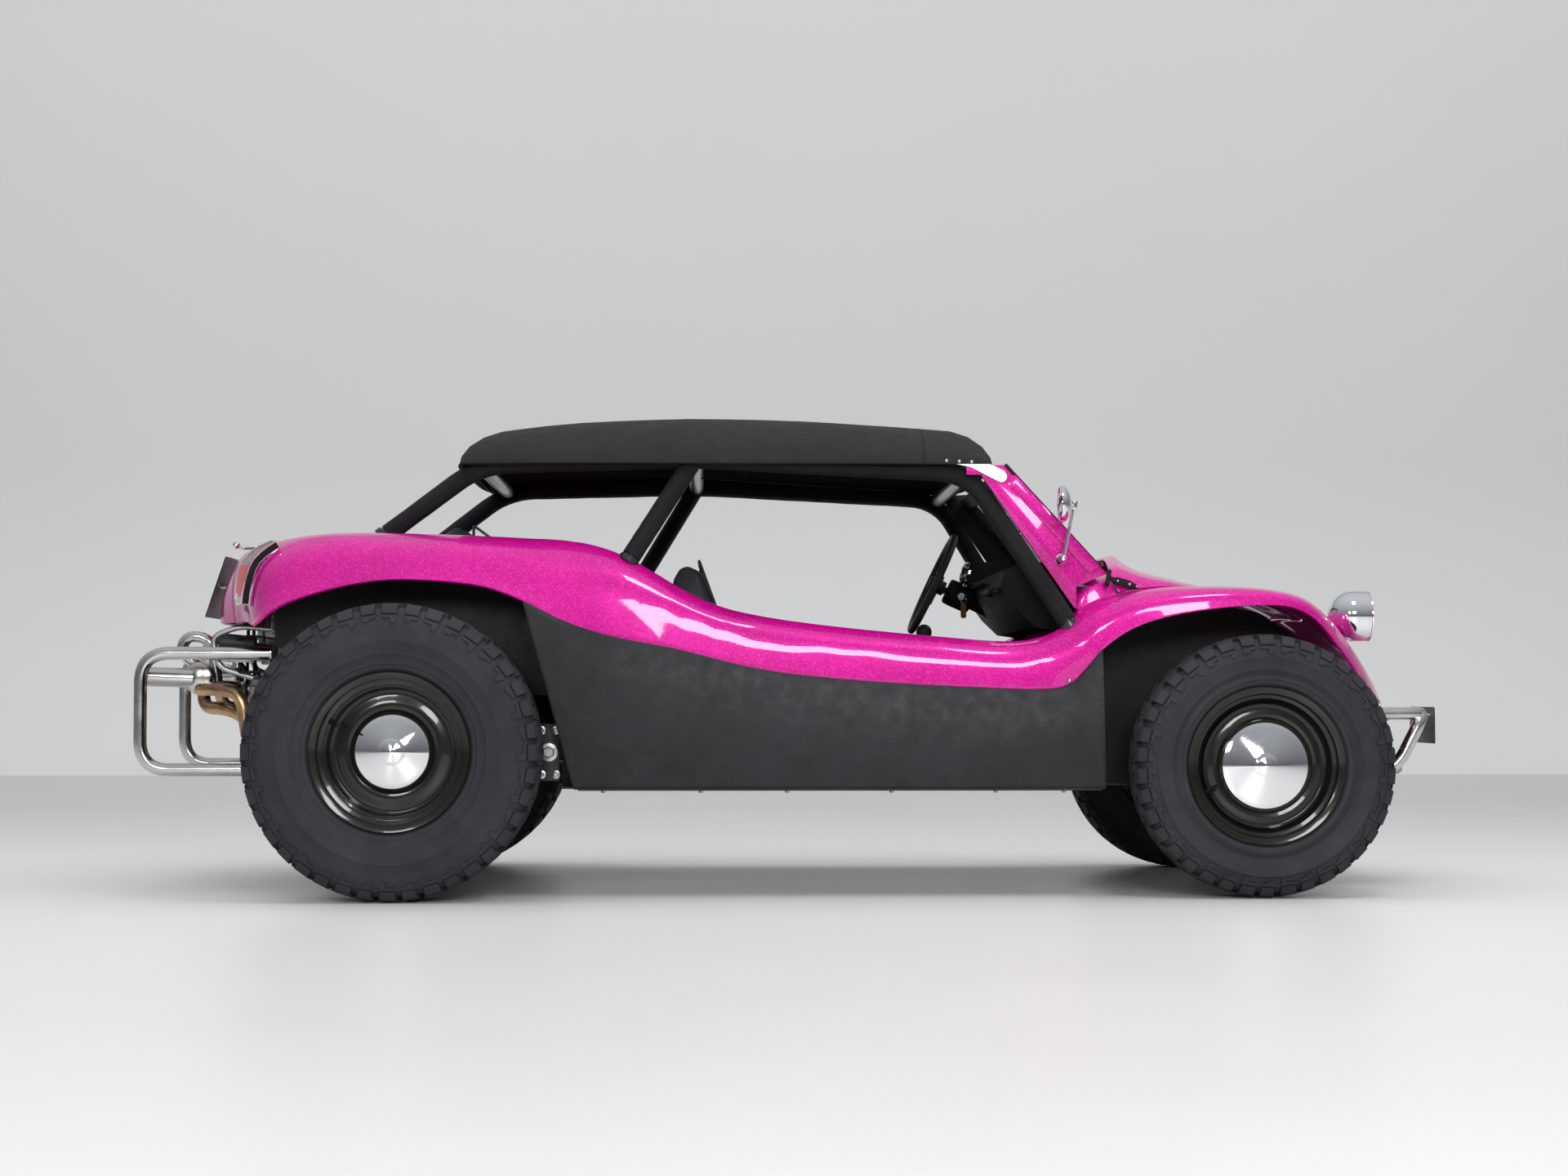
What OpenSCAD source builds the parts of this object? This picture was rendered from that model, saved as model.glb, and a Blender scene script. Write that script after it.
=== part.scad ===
// Four-seat dune buggy: fibreglass body on a steel platform, rear engine,
// hard top on a tubular cage. Millimetres, +X forward, +Y to the car's left,
// +Z up. Origin on the floor at the centre of the overall box.

/* [Chassis] */
// Distance between the front and rear axles
wheel_base = 2400; // [2000:20:2900]
// Distance between the rear tyres' centre planes
rear_track = 1548; // [1500:2:1860]
// Distance between the front tyres' centre planes
front_track = 1386; // [1340:2:1700]
// Underside of the floor above the ground
ride_height = 300; // [270:5:360]

/* [Wheels] */
// Outer diameter of the rear tyres
rear_tyre_d = 811; // [760:1:840]
// Width of the rear tyres
rear_tyre_w = 277; // [230:1:300]
// Outer diameter of the front tyres
front_tyre_d = 730; // [680:1:750]
// Width of the front tyres
front_tyre_w = 214; // [180:1:230]
// Bead seat diameter of every rim
rim_d = 406; // [340:1:487]
// Width between the rear rim's bead seats
rear_rim_w = 204; // [160:1:230]
// Width between the front rim's bead seats
front_rim_w = 160; // [130:1:190]
// Radius of the stub axle that each wheel turns on
spindle_r = 15; // [12:0.5:18]
// Radial running clearance on the spindles, kingpins and steering shaft
run_gap = 0.1; // [0.05:0.01:0.1]

/* [Body] */
// Widest part of the body, over the rear wings
body_w = 1584; // [1320:4:1900]
// Thickness of the fibreglass mouldings
skin_t = 7; // [5:0.5:9]
// Thickness of the inner tub's walls and of the floor
wall_t = 6; // [4:0.5:10]
// Gap round the hood and the engine lid
panel_gap = 5.5; // [5:0.5:8]
// Highest point of the roof
roof_z = 1385; // [1340:5:1450]
// Lower edge of the roof
roof_edge_z = 1214; // [1200:2:1220]

/* [Tubes] */
// Outer diameter of the roll cage's tubes
cage_d = 54; // [45:1:60]
// Outer diameter of the bumpers' tubes
bumper_d = 38; // [32:1:46]
// Outer diameter of the exhaust pipes
pipe_d = 38; // [32:1:46]

/* [Controls] */
// Diameter of the steering wheel over its rim
steer_wheel_d = 345; // [300:1:400]
// Slope of the steering column below level
column_angle = 25; // [15:1:35]

/* [Hidden] */
$fn = 48;

paint = [0.78, 0, 0.53];
trim_black = [0.18, 0.18, 0.2];
seat_gap = 0.3;

// The body's lines are drawn on these nominal sizes and stretched to the real ones
nominal_base = 2400;
nominal_w = 1584;
rigid_x = 650;
rear_loop_x = -1979;
front_plate_x = 1838;
plate_t = 3;
stretch = (wheel_base - nominal_base) / 2;
rear_x = -wheel_base / 2;
front_x = wheel_base / 2;
rear_axle_z = rear_tyre_d / 2;
front_axle_z = front_tyre_d / 2;

// Place along the car: rigid round each axle, stretched between them
function wx(x) = abs(x) > rigid_x ? x + sign(x) * stretch : x * (rigid_x + stretch) / rigid_x;
// Shift that puts the origin halfway between the rear bumper and the front plate
centre_x = -(wx(rear_loop_x) - bumper_d / 2 + wx(front_plate_x) + plate_t / 2) / 2;
// Place across the car
function wy(y) = y * body_w / nominal_w;
function unit(v) = v / norm(v);
function clamp(x, low, high) = min(max(x, low), high);
function spline(a, b, c, d, t) =
    0.5 * (2 * b + (c - a) * t + (2 * a - 5 * b + 4 * c - d) * t * t
        + (3 * b - a - 3 * c + d) * t * t * t);

// Lines of the body's skin. Each row holds six points from the centre out:
// centre, mid, inner edge, crown, shoulder, lower lip.
function open_row(inner, crown, shoulder, lip) =
    [[inner.x, 0, inner.z], [inner.x, 300, inner.z], inner, crown, shoulder, lip];
BODY = [
    [[-1790, 0, 770], [-1776, 200, 770], [-1700, 370, 768], [-1648, 500, 766], [-1615, 660, 758], [-1588, 765, 752]],
    [[-1786, 0, 850], [-1770, 200, 850], [-1710, 375, 852], [-1662, 510, 860], [-1590, 690, 850], [-1506, 785, 808]],
    [[-1738, 0, 955], [-1726, 200, 954], [-1690, 385, 945], [-1640, 520, 938], [-1545, 705, 920], [-1384, 790, 848]],
    [[-1660, 0, 1000], [-1650, 210, 998], [-1610, 400, 992], [-1560, 560, 988], [-1440, 720, 958], [-1250, 792, 874]],
    [[-1440, 0, 1016], [-1440, 220, 1016], [-1420, 470, 1014], [-1400, 632, 1011], [-1290, 736, 968], [-1117, 792, 876]],
    [[-1180, 0, 1012], [-1180, 260, 1012], [-1180, 560, 1010], [-1200, 640, 1010], [-1120, 738, 965], [-960, 792, 860]],
    open_row([-1000, 575, 1000], [-1010, 640, 1005], [-960, 738, 955], [-849, 790, 820]),
    open_row([-850, 580, 992], [-840, 640, 996], [-810, 735, 930], [-737, 780, 764]),
    open_row([-720, 585, 982], [-710, 640, 986], [-690, 725, 905], [-605, 745, 721]),
    open_row([-570, 590, 935], [-560, 640, 943], [-540, 710, 870], [-424, 715, 687]),
    open_row([-345, 592, 812], [-340, 638, 819], [-320, 695, 770], [-198, 700, 631]),
    open_row([-100, 592, 757], [-100, 636, 765], [-80, 688, 715], [78, 692, 600]),
    open_row([300, 592, 716], [300, 636, 724], [320, 685, 680], [415, 690, 581]),
    open_row([536, 592, 702], [536, 638, 710], [560, 688, 665], [640, 692, 579]),
    open_row([648, 592, 740], [651, 642, 747], [680, 695, 705], [711, 700, 631]),
    [[700, 0, 872], [700, 520, 860], [700, 592, 800], [705, 645, 795], [740, 705, 760], [757, 712, 688]],
    [[835, 0, 935], [795, 520, 905], [812, 595, 845], [801, 650, 832], [830, 718, 805], [837, 725, 744]],
    [[925, 0, 938], [920, 480, 902], [945, 572, 866], [927, 645, 861], [935, 722, 835], [940, 735, 779]],
    [[1090, 0, 898], [1090, 420, 872], [1100, 540, 862], [1112, 640, 866], [1110, 725, 850], [1100, 740, 804]],
    [[1250, 0, 858], [1250, 380, 835], [1250, 505, 838], [1250, 622, 856], [1255, 712, 842], [1260, 730, 809]],
    [[1390, 0, 795], [1385, 340, 780], [1370, 470, 783], [1345, 615, 829], [1347, 690, 808], [1352, 700, 774]],
    [[1520, 0, 700], [1505, 300, 694], [1480, 425, 700], [1436, 585, 757], [1426, 640, 735], [1425, 665, 699]],
    [[1615, 0, 625], [1600, 260, 620], [1565, 400, 632], [1522, 530, 650], [1497, 590, 640], [1490, 605, 624]],
    [[1656, 0, 535], [1645, 240, 535], [1605, 390, 545], [1555, 500, 575], [1510, 570, 606], [1498, 592, 612]]
];
lid_rows = [0, 2];
deck_row = 5;
cowl_row = 15;
hood_rows = [16, 20];
edge_line = 2;
lip_line = 5;
row_steps = 3;
line_steps = 3;

function body_knot(i, j) =
    i < 0 ? 2 * body_knot(0, j) - body_knot(1, j)
    : i > len(BODY) - 1 ? 2 * body_knot(len(BODY) - 1, j) - body_knot(len(BODY) - 2, j)
    : abs(j) > lip_line ? 2 * body_knot(i, sign(j) * lip_line) - body_knot(i, sign(j) * (lip_line - 1))
    : let (q = BODY[i][abs(j)]) [wx(q.x), sign(j) * wy(q.y), q.z];
function body_row(i, v) =
    let (j = clamp(floor(v), -lip_line, lip_line - 1), t = v - j)
    spline(body_knot(i, j - 1), body_knot(i, j), body_knot(i, j + 1), body_knot(i, j + 2), t);
// Point of the body's outer surface: u counts rows, v counts lines from the centre
function on_body(u, v) =
    let (i = clamp(floor(u), 0, len(BODY) - 2), t = u - i)
    spline(body_row(i - 1, v), body_row(i, v), body_row(i + 1, v), body_row(i + 2, v), t);
function body_normal(u, v) =
    unit(cross(on_body(u + 0.05, v) - on_body(u - 0.05, v), on_body(u, v + 0.05) - on_body(u, v - 0.05)));

// Unit normal of a grid of points at one of them
function grid_normal(grid, i, j) =
    let (i0 = max(i - 1, 0), i1 = min(i + 1, len(grid) - 1), j0 = max(j - 1, 0), j1 = min(j + 1, len(grid[0]) - 1))
    unit(cross(grid[i1][j] - grid[i0][j], grid[i][j1] - grid[i][j0]));
// Centre of a ball of radius r that bears on the grid from outside (side 1) or inside (side -1)
function ball_on(grid, i, j, r, side, t = 0) =
    grid[i][j] + side * (r + t + seat_gap) * grid_normal(grid, i, j);

// Closed skin of thickness t under a grid of points, leaving out the cells that keep() refuses
module skin(grid, t, keep = function (i, j) true) {
    rows = len(grid);
    cols = len(grid[0]);
    inner = [for (i = [0:rows - 1], j = [0:cols - 1]) grid[i][j] - t * grid_normal(grid, i, j)];
    outer = [for (row = grid) each row];
    a = function (i, j) i * cols + j;
    b = function (i, j) rows * cols + i * cols + j;
    kept = function (i, j) i >= 0 && j >= 0 && i < rows - 1 && j < cols - 1 && keep(i, j);
    wall = function (p, q, r, s) [[q, p, r], [q, r, s]];
    faces = [for (i = [0:rows - 2], j = [0:cols - 2]) if (kept(i, j)) each concat(
        [[a(i, j), a(i, j + 1), a(i + 1, j + 1)], [a(i, j), a(i + 1, j + 1), a(i + 1, j)],
         [b(i, j), b(i + 1, j + 1), b(i, j + 1)], [b(i, j), b(i + 1, j), b(i + 1, j + 1)]],
        kept(i - 1, j) ? [] : wall(a(i, j), a(i, j + 1), b(i, j), b(i, j + 1)),
        kept(i, j + 1) ? [] : wall(a(i, j + 1), a(i + 1, j + 1), b(i, j + 1), b(i + 1, j + 1)),
        kept(i + 1, j) ? [] : wall(a(i + 1, j + 1), a(i + 1, j), b(i + 1, j + 1), b(i + 1, j)),
        kept(i, j - 1) ? [] : wall(a(i + 1, j), a(i, j), b(i + 1, j), b(i, j)))];
    polyhedron(concat(outer, inner), faces, convexity = 10);
}

// Grid on the body's surface between two rows and two lines, lifted by rise
function patch(u0, u1, v0, v1, nu, nv, rise = 0) =
    [for (i = [0:nu]) [for (j = [0:nv])
        let (u = u0 + (u1 - u0) * i / nu, v = v0 + (v1 - v0) * j / nv)
        on_body(u, v) + (rise == 0 ? [0, 0, 0] : rise * body_normal(u, v))]];

module both() {
    children();
    mirror([0, 1, 0]) children();
}
module tube(a, b, r) {
    d = b - a;
    translate(a) rotate([0, acos(d.z / norm(d)), atan2(d.y, d.x)]) cylinder(r = r, h = norm(d));
}
joint_swell = 1.06;
// Ball whose poles are turned by tip degrees from upright to across the car
module ball(at, r, tip = 0) {
    translate(at) rotate([tip, 0, 0]) sphere(r = r);
}
// Run of straight tubes with a slightly fuller ball at each joint
module run(points, r, swell = joint_swell, tip = 0) {
    for (i = [0:len(points) - 2]) tube(points[i], points[i + 1], r);
    for (i = [1:1:len(points) - 2]) ball(points[i], r * swell, tip);
}
// Plate with its outline in the XZ plane, from y0 to y1
module side_plate(points, y0, y1) {
    translate([0, y1, 0]) rotate([90, 0, 0]) linear_extrude(y1 - y0) polygon(points);
}
module block(low, high) {
    translate(low) cube(high - low);
}

// ---- body ----
mid_col = lip_line * line_steps;
body_grid = patch(0, len(BODY) - 1, -lip_line, lip_line, (len(BODY) - 1) * row_steps, 2 * mid_col);
// Ball bearing on the body's skin at a row and a line, both in steps of the grid
function ball_on_body(u, v, r, side) =
    ball_on(body_grid, round(u * row_steps), round(mid_col + v * line_steps), r, side, side < 0 ? skin_t : 0);
module body_shell() color(paint) {
    skin(body_grid, skin_t,
        function (i, j) let (u = (i + 0.5) / row_steps, v = abs(j + 0.5 - mid_col) / line_steps)
            v > edge_line || (u > lid_rows[1] && u < deck_row)
            || (u > cowl_row && u < hood_rows[0]) || u > hood_rows[1]);
}
// Margins that leave panel_gap round a panel cut from the body's surface
function row_margin(u, v) = 0.05 * panel_gap / norm(on_body(u + 0.05, v) - on_body(u, v));
function line_margin(u, v) = 0.05 * panel_gap / norm(on_body(u, v + 0.05) - on_body(u, v));
// Grid of a panel cut from the body's surface, raised by bump(u, v)
function panel_grid(rows, nu, nv, open_end, bump) =
    let (u0 = open_end ? rows[0] : rows[0] + row_margin(rows[0], 0.5),
        u1 = rows[1] - row_margin(rows[1] - 0.1, 0.5))
    [for (i = [0:nu]) let (u = u0 + (u1 - u0) * i / nu, edge = edge_line - line_margin(u, edge_line - 0.1))
        [for (j = [0:nv]) let (v = edge * (2 * j / nv - 1)) on_body(u, v) + [0, 0, bump(u, v)]]];
// Raised lip across the back of the hood
lip_h = 46;
hood_grid = panel_grid(hood_rows, (hood_rows[1] - hood_rows[0]) * row_steps, 12, false,
    function (u, v) lip_h * exp(-pow((u - hood_rows[0] - 0.25) / 0.42, 2)) * max(0, 1 - pow(v / 1.35, 2)));
lid_grid = panel_grid(lid_rows, (lid_rows[1] - lid_rows[0]) * row_steps, 12, true, function (u, v) 0);
module hood() color(paint) skin(hood_grid, skin_t);
module engine_lid() color(paint) skin(lid_grid, skin_t);

panel_rows = [6, 15];
panel_foot_x = [-712, 765];
panel_foot_y = 690;
module side_panel() {
    rows = (panel_rows[1] - panel_rows[0]) * row_steps;
    cols = 6;
    skin([for (i = [0:rows]) let (
        top = on_body(panel_rows[0] + i / row_steps, lip_line) - [0, 0, 2 * seat_gap],
        foot = [wx(panel_foot_x[0] + (panel_foot_x[1] - panel_foot_x[0]) * i / rows), wy(panel_foot_y), ride_height])
        [for (j = [0:cols]) let (t = j / cols) foot * t + top * (1 - t) + [0, wy(14) * sin(180 * t), 0]]],
        -skin_t);
}
module left_side_panel() color(trim_black) side_panel();
module right_side_panel() color(trim_black) mirror([0, 1, 0]) side_panel();

tub_y = 592 - seat_gap;
arch_y = 555;
// Least room between a rear tyre and the wall of its arch
arch_gap = 80.5;
well_y = 400;
tub_nose_x = 775;
bulkhead_x = 1000;
seat_riser_x = -748;
deck_wall_x = -1140;
arch_tail_x = -1560;
sill_top_z = 700;
rear_floor_z = 560;
waist_z = 960;
well_top_z = 830;
stop_r = 8;
stop_rod_r = 5;
module inner_tub() color(trim_black) {
    floor_z = ride_height + wall_t + seat_gap;
    nose = wx(tub_nose_x);
    riser = wx(seat_riser_x);
    tail = wx(arch_tail_x);
    deck = wx(deck_wall_x);
    bulkhead = wx(bulkhead_x);
    arch = min(wy(arch_y), (rear_track - rear_tyre_w) / 2 - arch_gap);
    well = wy(well_y);
    both() {
        side_plate([[riser, floor_z], [nose, floor_z], [nose, sill_top_z], [wx(648), 737], [wx(536), 700],
            [wx(300), 714], [wx(-100), 755], [wx(-345), 808], [wx(-570), 905], [wx(-720), 955], [riser, waist_z]],
            wy(tub_y) - wall_t, wy(tub_y));
        side_plate([[tail, 700], [wx(-1330), rear_floor_z], [deck, rear_floor_z], [riser, rear_floor_z],
            [riser, waist_z], [wx(-1180), 985], [wx(-1500), 970], [tail, 930]], arch - wall_t, arch);
        block([riser, arch - wall_t, floor_z], [riser + wall_t, wy(tub_y), waist_z]);
        side_plate([[nose, floor_z], [bulkhead, floor_z], [wx(1400), 560], [wx(1560), 560], [wx(1480), 660],
            [wx(1250), 800], [wx(1090), well_top_z], [nose, well_top_z]], well - wall_t, well);
        block([nose - wall_t, well - wall_t, floor_z], [nose, wy(tub_y), sill_top_z]);
        hood_stop = ball_on(hood_grid, 6, 9, stop_r, -1, skin_t);
        tube([bulkhead - wall_t / 2, well - 40, 815], hood_stop, stop_rod_r);
        ball(hood_stop, stop_r, 90);
        lid_stop = ball_on(lid_grid, 3, 11, stop_r, -1, skin_t);
        tube([tail + 2, arch - wall_t / 2, 800], lid_stop, stop_rod_r);
        ball(lid_stop, stop_r, 90);
    }
    block([bulkhead - wall_t, wall_t - well, floor_z], [bulkhead, well - wall_t, well_top_z]);
    block([riser, wall_t - arch, floor_z], [riser + wall_t, arch - wall_t, rear_floor_z + wall_t]);
    block([deck, wall_t - arch, rear_floor_z], [riser, arch - wall_t, rear_floor_z + wall_t]);
    block([deck - wall_t, wall_t - arch, rear_floor_z], [deck, arch - wall_t, 985]);
}

tunnel_w = 190;
tunnel_h = 150;
floor_step_x = 760;
module floorpan() color(trim_black) {
    half = wy(panel_foot_y) - skin_t - seat_gap;
    top = ride_height + wall_t;
    block([wx(seat_riser_x), -half, ride_height], [wx(floor_step_x), half, top]);
    block([wx(floor_step_x), -wy(well_y), ride_height], [wx(bulkhead_x), wy(well_y), top]);
    block([wx(seat_riser_x) + wall_t + 2, -tunnel_w / 2, top],
        [wx(bulkhead_x) - wall_t - 4, tunnel_w / 2, ride_height + tunnel_h]);
}

// ---- glasshouse ----
screen_top = [499, 1212];
screen_foot = [763, 925];
screen_t = 34;
screen_slope = atan2(screen_top.y - screen_foot.y, screen_foot.x - screen_top.x);
screen_h = norm(screen_top - screen_foot);
screen_bar = 42;
pillar_y = 594;
screen_y = 600;
glass_t = 6;
// Places its children on the screen's plane: x across, y up the slope, z out through the glass
module on_screen() {
    translate([wx(screen_foot.x), 0, screen_foot.y]) rotate([0, screen_slope, 0])
        rotate([0, 0, 90]) children();
}
module screen_outline(inset, r) {
    w = wy(screen_y) - inset;
    h = screen_h - inset;
    difference() {
        translate([-w, inset]) square([2 * w, h - inset]);
        for (s = [-1, 1]) difference() {
            translate([s * w - (s > 0 ? r : 0), h - r]) square(r);
            translate([s * (w - r), h - r]) circle(r);
        }
    }
}
module windshield_frame() color(paint) {
    on_screen() translate([0, 0, -screen_t]) linear_extrude(screen_t) difference() {
        screen_outline(0, 60);
        screen_outline(screen_bar, 30);
    }
    tongue = wx(front_top.x) - 10;
    both() side_plate([[tongue, 1206], [tongue, 1182], [wx(430), 1182], [wx(693), 806], [wx(699), 806],
        [wx(699), 866], [wx(765), 894], [wx(786), 902], [wx(screen_foot.x), screen_foot.y],
        [wx(screen_top.x), screen_top.y - 1]],
        wy(front_top.y) + cage_d / 2 * cage_swell + seat_gap, wy(pillar_y));
}
module windshield_glass() color([0.7, 0.8, 0.85, 0.35])
    on_screen() translate([0, 0, -screen_t / 2 - glass_t / 2]) linear_extrude(glass_t)
        screen_outline(screen_bar + seat_gap, 30 - seat_gap);

roof_x = [-1061, 484];
roof_y = 600;
roof_rows = 22;
roof_cols = 18;
roof_t = 5;
roof_mid = (wx(roof_x[0]) + wx(roof_x[1])) / 2;
roof_half = (wx(roof_x[1]) - wx(roof_x[0])) / 2;
roof_grid = [for (i = [0:roof_rows]) [for (j = [0:roof_cols])
        let (u = sin(180 * i / roof_rows - 90), v = sin(180 * j / roof_cols - 90),
            swell = pow(max(1 - pow(abs(u), 8), 0), 0.5) * pow(max(1 - pow(abs(v), 4.5), 0), 0.5))
        [roof_mid + roof_half * u * (1 - 0.03 * pow(abs(v), 6)),
         wy(roof_y) * v * (1 - 0.06 * pow(abs(u), 6)),
         roof_edge_z + (roof_z - 35 * u * u - roof_edge_z) * swell]]];
module roof() color([0.2, 0.2, 0.2]) skin(roof_grid, roof_t);

front_top = [398, 546, 1190];
b_top = [-380, 545, 1230];
rear_top = [-985, 520, 1214];
a_foot = [14.333, 2.667];
b_foot = [9, 3];
stay_foot = [4.667, 2];
roof_post_r = 11;
cage_swell = 1.14;
module roll_cage() color([0.1, 0.1, 0.1]) {
    r = cage_d / 2;
    place = function (p) [wx(p.x), wy(p.y), p.z];
    foot = function (uv) ball_on_body(uv[0], uv[1], r * cage_swell, 1);
    both() {
        run([foot(a_foot), place(front_top), place(b_top), place(rear_top), foot(stay_foot)], r, cage_swell, 90);
        tube(place(b_top), foot(b_foot), r - 1);
        for (uv = [a_foot, b_foot, stay_foot]) ball(foot(uv), r * cage_swell, 90);
        for (i = [5, 17]) {
            top = ball_on(roof_grid, i, 16, roof_post_r, -1, roof_t);
            ball(top, roof_post_r, 90);
            tube([top.x, top.y, 1215], top, roof_post_r - 3);
        }
    }
    for (p = [front_top, b_top, rear_top]) translate([wx(p.x), -wy(p.y), p.z]) rotate([-90, 0, 0])
        cylinder(r = r - 3, h = 2 * wy(p.y));
}

// ---- cockpit ----
module dashboard() color(trim_black) {
    w = wy(528);
    front = wx(cowl_x) - seat_gap;
    difference() {
        union() {
            side_plate([[front, 930], [wx(560), 942], [wx(505), 918], [wx(492), 868], [wx(540), 800],
                [wx(590), 752], [wx(640), 745], [front, 760]], -w, w);
            translate([0, wy(steer_y), 0]) side_plate([[wx(560), 930], [wx(500), 905], [wx(472), 900],
                [wx(470), 965], [wx(490), 977], [wx(560), 972]], -130, 130);
        }
        on_column() {
            translate([0, 0, bore_top])
                cylinder(r = shroud_r + seat_gap, h = shroud_top + shroud_h - bore_top + seat_gap);
            translate([0, 0, column_top - 10]) cylinder(r = column_r + seat_gap, h = column_h + 10 + seat_gap);
        }
    }
}

steer_y = 340;
steer_centre = [367, 911];
steer_rim_r = 12;
shaft_r = 9;
column_r = 24;
shroud_r = 42;
shroud_h = 90;
cowl_x = 700;
// Places its children with +Z down the steering column from the wheel's centre
module on_column() {
    translate([wx(steer_centre.x), wy(steer_y), steer_centre.y]) rotate([0, 90 + column_angle, 0]) children();
}
// Distances down the column from the wheel's centre
shroud_top = 48;
column_top = 130;
column_h = 170;
bore_top = 40;
bore_h = 110;
module steering_column() color(trim_black) on_column() difference() {
    union() {
        translate([0, 0, shroud_top]) cylinder(r = shroud_r, h = shroud_h);
        translate([0, 0, column_top]) cylinder(r = column_r, h = column_h);
    }
    translate([0, 0, bore_top]) cylinder(r = shaft_r + run_gap, h = bore_h);
}
spoke_turns = [0, 105, 255];
spoke_r = 7;
boss_r = 24;
pad_r = 34;
pad_h = 30;
module steering_wheel() color([0.08, 0.08, 0.08]) on_column() {
    r = steer_wheel_d / 2 - steer_rim_r;
    rotate_extrude() translate([r, 0]) circle(steer_rim_r);
    for (a = spoke_turns) rotate([0, 0, a]) rotate([0, 90, 0])
        translate([0, 0, boss_r - 4]) cylinder(r = spoke_r, h = r - boss_r + 4);
    translate([0, 0, -14]) cylinder(r = pad_r, h = pad_h);
    cylinder(r = boss_r, h = 42);
    cylinder(r = shaft_r, h = bore_top + 100);
}

knob = [313, 0, 751];
knob_r = 24;
lever_r = 7;
lever_foot_x = 250;
boot_r = 45;
boot_h = 16;
module gear_lever() color(trim_black) {
    top = [wx(knob.x), knob.y, knob.z];
    foot = [wx(lever_foot_x), 0, ride_height + tunnel_h + seat_gap];
    translate(foot) cylinder(r = boot_r, h = boot_h);
    tube(foot + [0, 0, boot_h / 2], top, lever_r);
    translate(top) sphere(r = knob_r);
}

// How far the back's front face stands ahead of its foot
seat_lap = 20;
// Seat: pedestal, cushion with a round front roll, back raked about its foot, round at the top
module seat(w, depth, back_h, rake, cushion_h, pad) {
    roll = pad / 2;
    foot = [0, cushion_h - pad];
    lean = function (x, z) foot + [x * cos(rake) - z * sin(rake), x * sin(rake) + z * cos(rake)];
    crease = (pad - seat_lap * sin(rake)) / cos(rake);
    side_plate(concat(
        [[0, 0], [depth, 0]],
        [for (a = [-90:15:90]) [depth + roll * cos(a), cushion_h - roll + roll * sin(a)]],
        [lean(seat_lap, crease)],
        [for (a = [0:15:180]) lean(seat_lap - roll + roll * cos(a), back_h - roll + roll * sin(a))],
        [lean(seat_lap - pad, 0), foot]), -w / 2, w / 2);
}
seat_y = 318;
seat_w = 440;
module front_seat(side) {
    translate([wx(-190), side * wy(seat_y), ride_height + wall_t + seat_gap])
        seat(seat_w, 440, 555, 20, 235, 110);
}
module driver_seat() color([0.12, 0.12, 0.12]) front_seat(1);
module passenger_seat() color([0.12, 0.12, 0.12]) front_seat(-1);
module rear_seat() color([0.12, 0.12, 0.12])
    translate([wx(-995), 0, rear_floor_z + wall_t + seat_gap]) seat(2 * wy(520), 330, 470, 3, 130, 110);

// ---- lamps, mirrors, plates ----
lamp_at = [1501, 470, 787];
lamp_r = 73;
module headlamp(side) color([0.85, 0.85, 0.87])
    translate([wx(lamp_at.x), side * wy(lamp_at.y), lamp_at.z]) {
        rotate([0, 90, 0]) rotate_extrude() difference() {
            union() {
                translate([0, 10]) circle(lamp_r);
                translate([0, 10]) square([lamp_r, 45]);
            }
            translate([-2 * lamp_r, -2 * lamp_r]) square([2 * lamp_r, 4 * lamp_r]);
            translate([0, 55]) square([lamp_r + 1, lamp_r]);
            translate([0, -2 * lamp_r - 45]) square([lamp_r + 1, 2 * lamp_r]);
        }
        translate([-12, 0, -lamp_r + 5]) sphere(r = 14);
    }
module left_headlamp() headlamp(1);
module right_headlamp() headlamp(-1);

lamp_t = 22;
module tail_lamps() color([0.8, 0.1, 0.05]) both() {
    n = 8;
    skin([for (i = [0:n]) let (u = 0.55 + 2.2 * i / n, half = 0.06 + 0.22 * pow(sin(90 * (1 - i / n)), 0.6))
        [for (j = [0:4]) let (v = 3.45 + half * (j / 2 - 1))
            on_body(u, v) + lamp_t * body_normal(u, v)]], lamp_t - 2 * seat_gap);
}
mirror_foot = [655, 943];
mirror_knee_y = 650;
mirror_head = [685, 655, 1092];
mirror_at = [650, 690];
mirror_r = 52;
mirror_t = 16;
module mirrors() color([0.85, 0.85, 0.87]) both() {
    base = [wx(mirror_foot.x), wy(pillar_y) + seat_gap, mirror_foot.y];
    knee = [base.x, wy(mirror_knee_y), base.z];
    head = [wx(mirror_head.x), wy(mirror_head.y), mirror_head.z];
    back = [wx(mirror_at.x), wy(mirror_at.y), mirror_head.z];
    tube(base, knee, 9);
    tube(knee, head, 5);
    translate(knee) sphere(r = 9.5);
    translate(head) sphere(r = 8);
    tube(head, back, 5);
    translate(back - [10, 0, 0]) rotate([0, 90, 0]) cylinder(r = mirror_r, h = mirror_t);
}
latch_at = [16.4, 1.72];
latch_size = [18, 60, 14];
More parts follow.
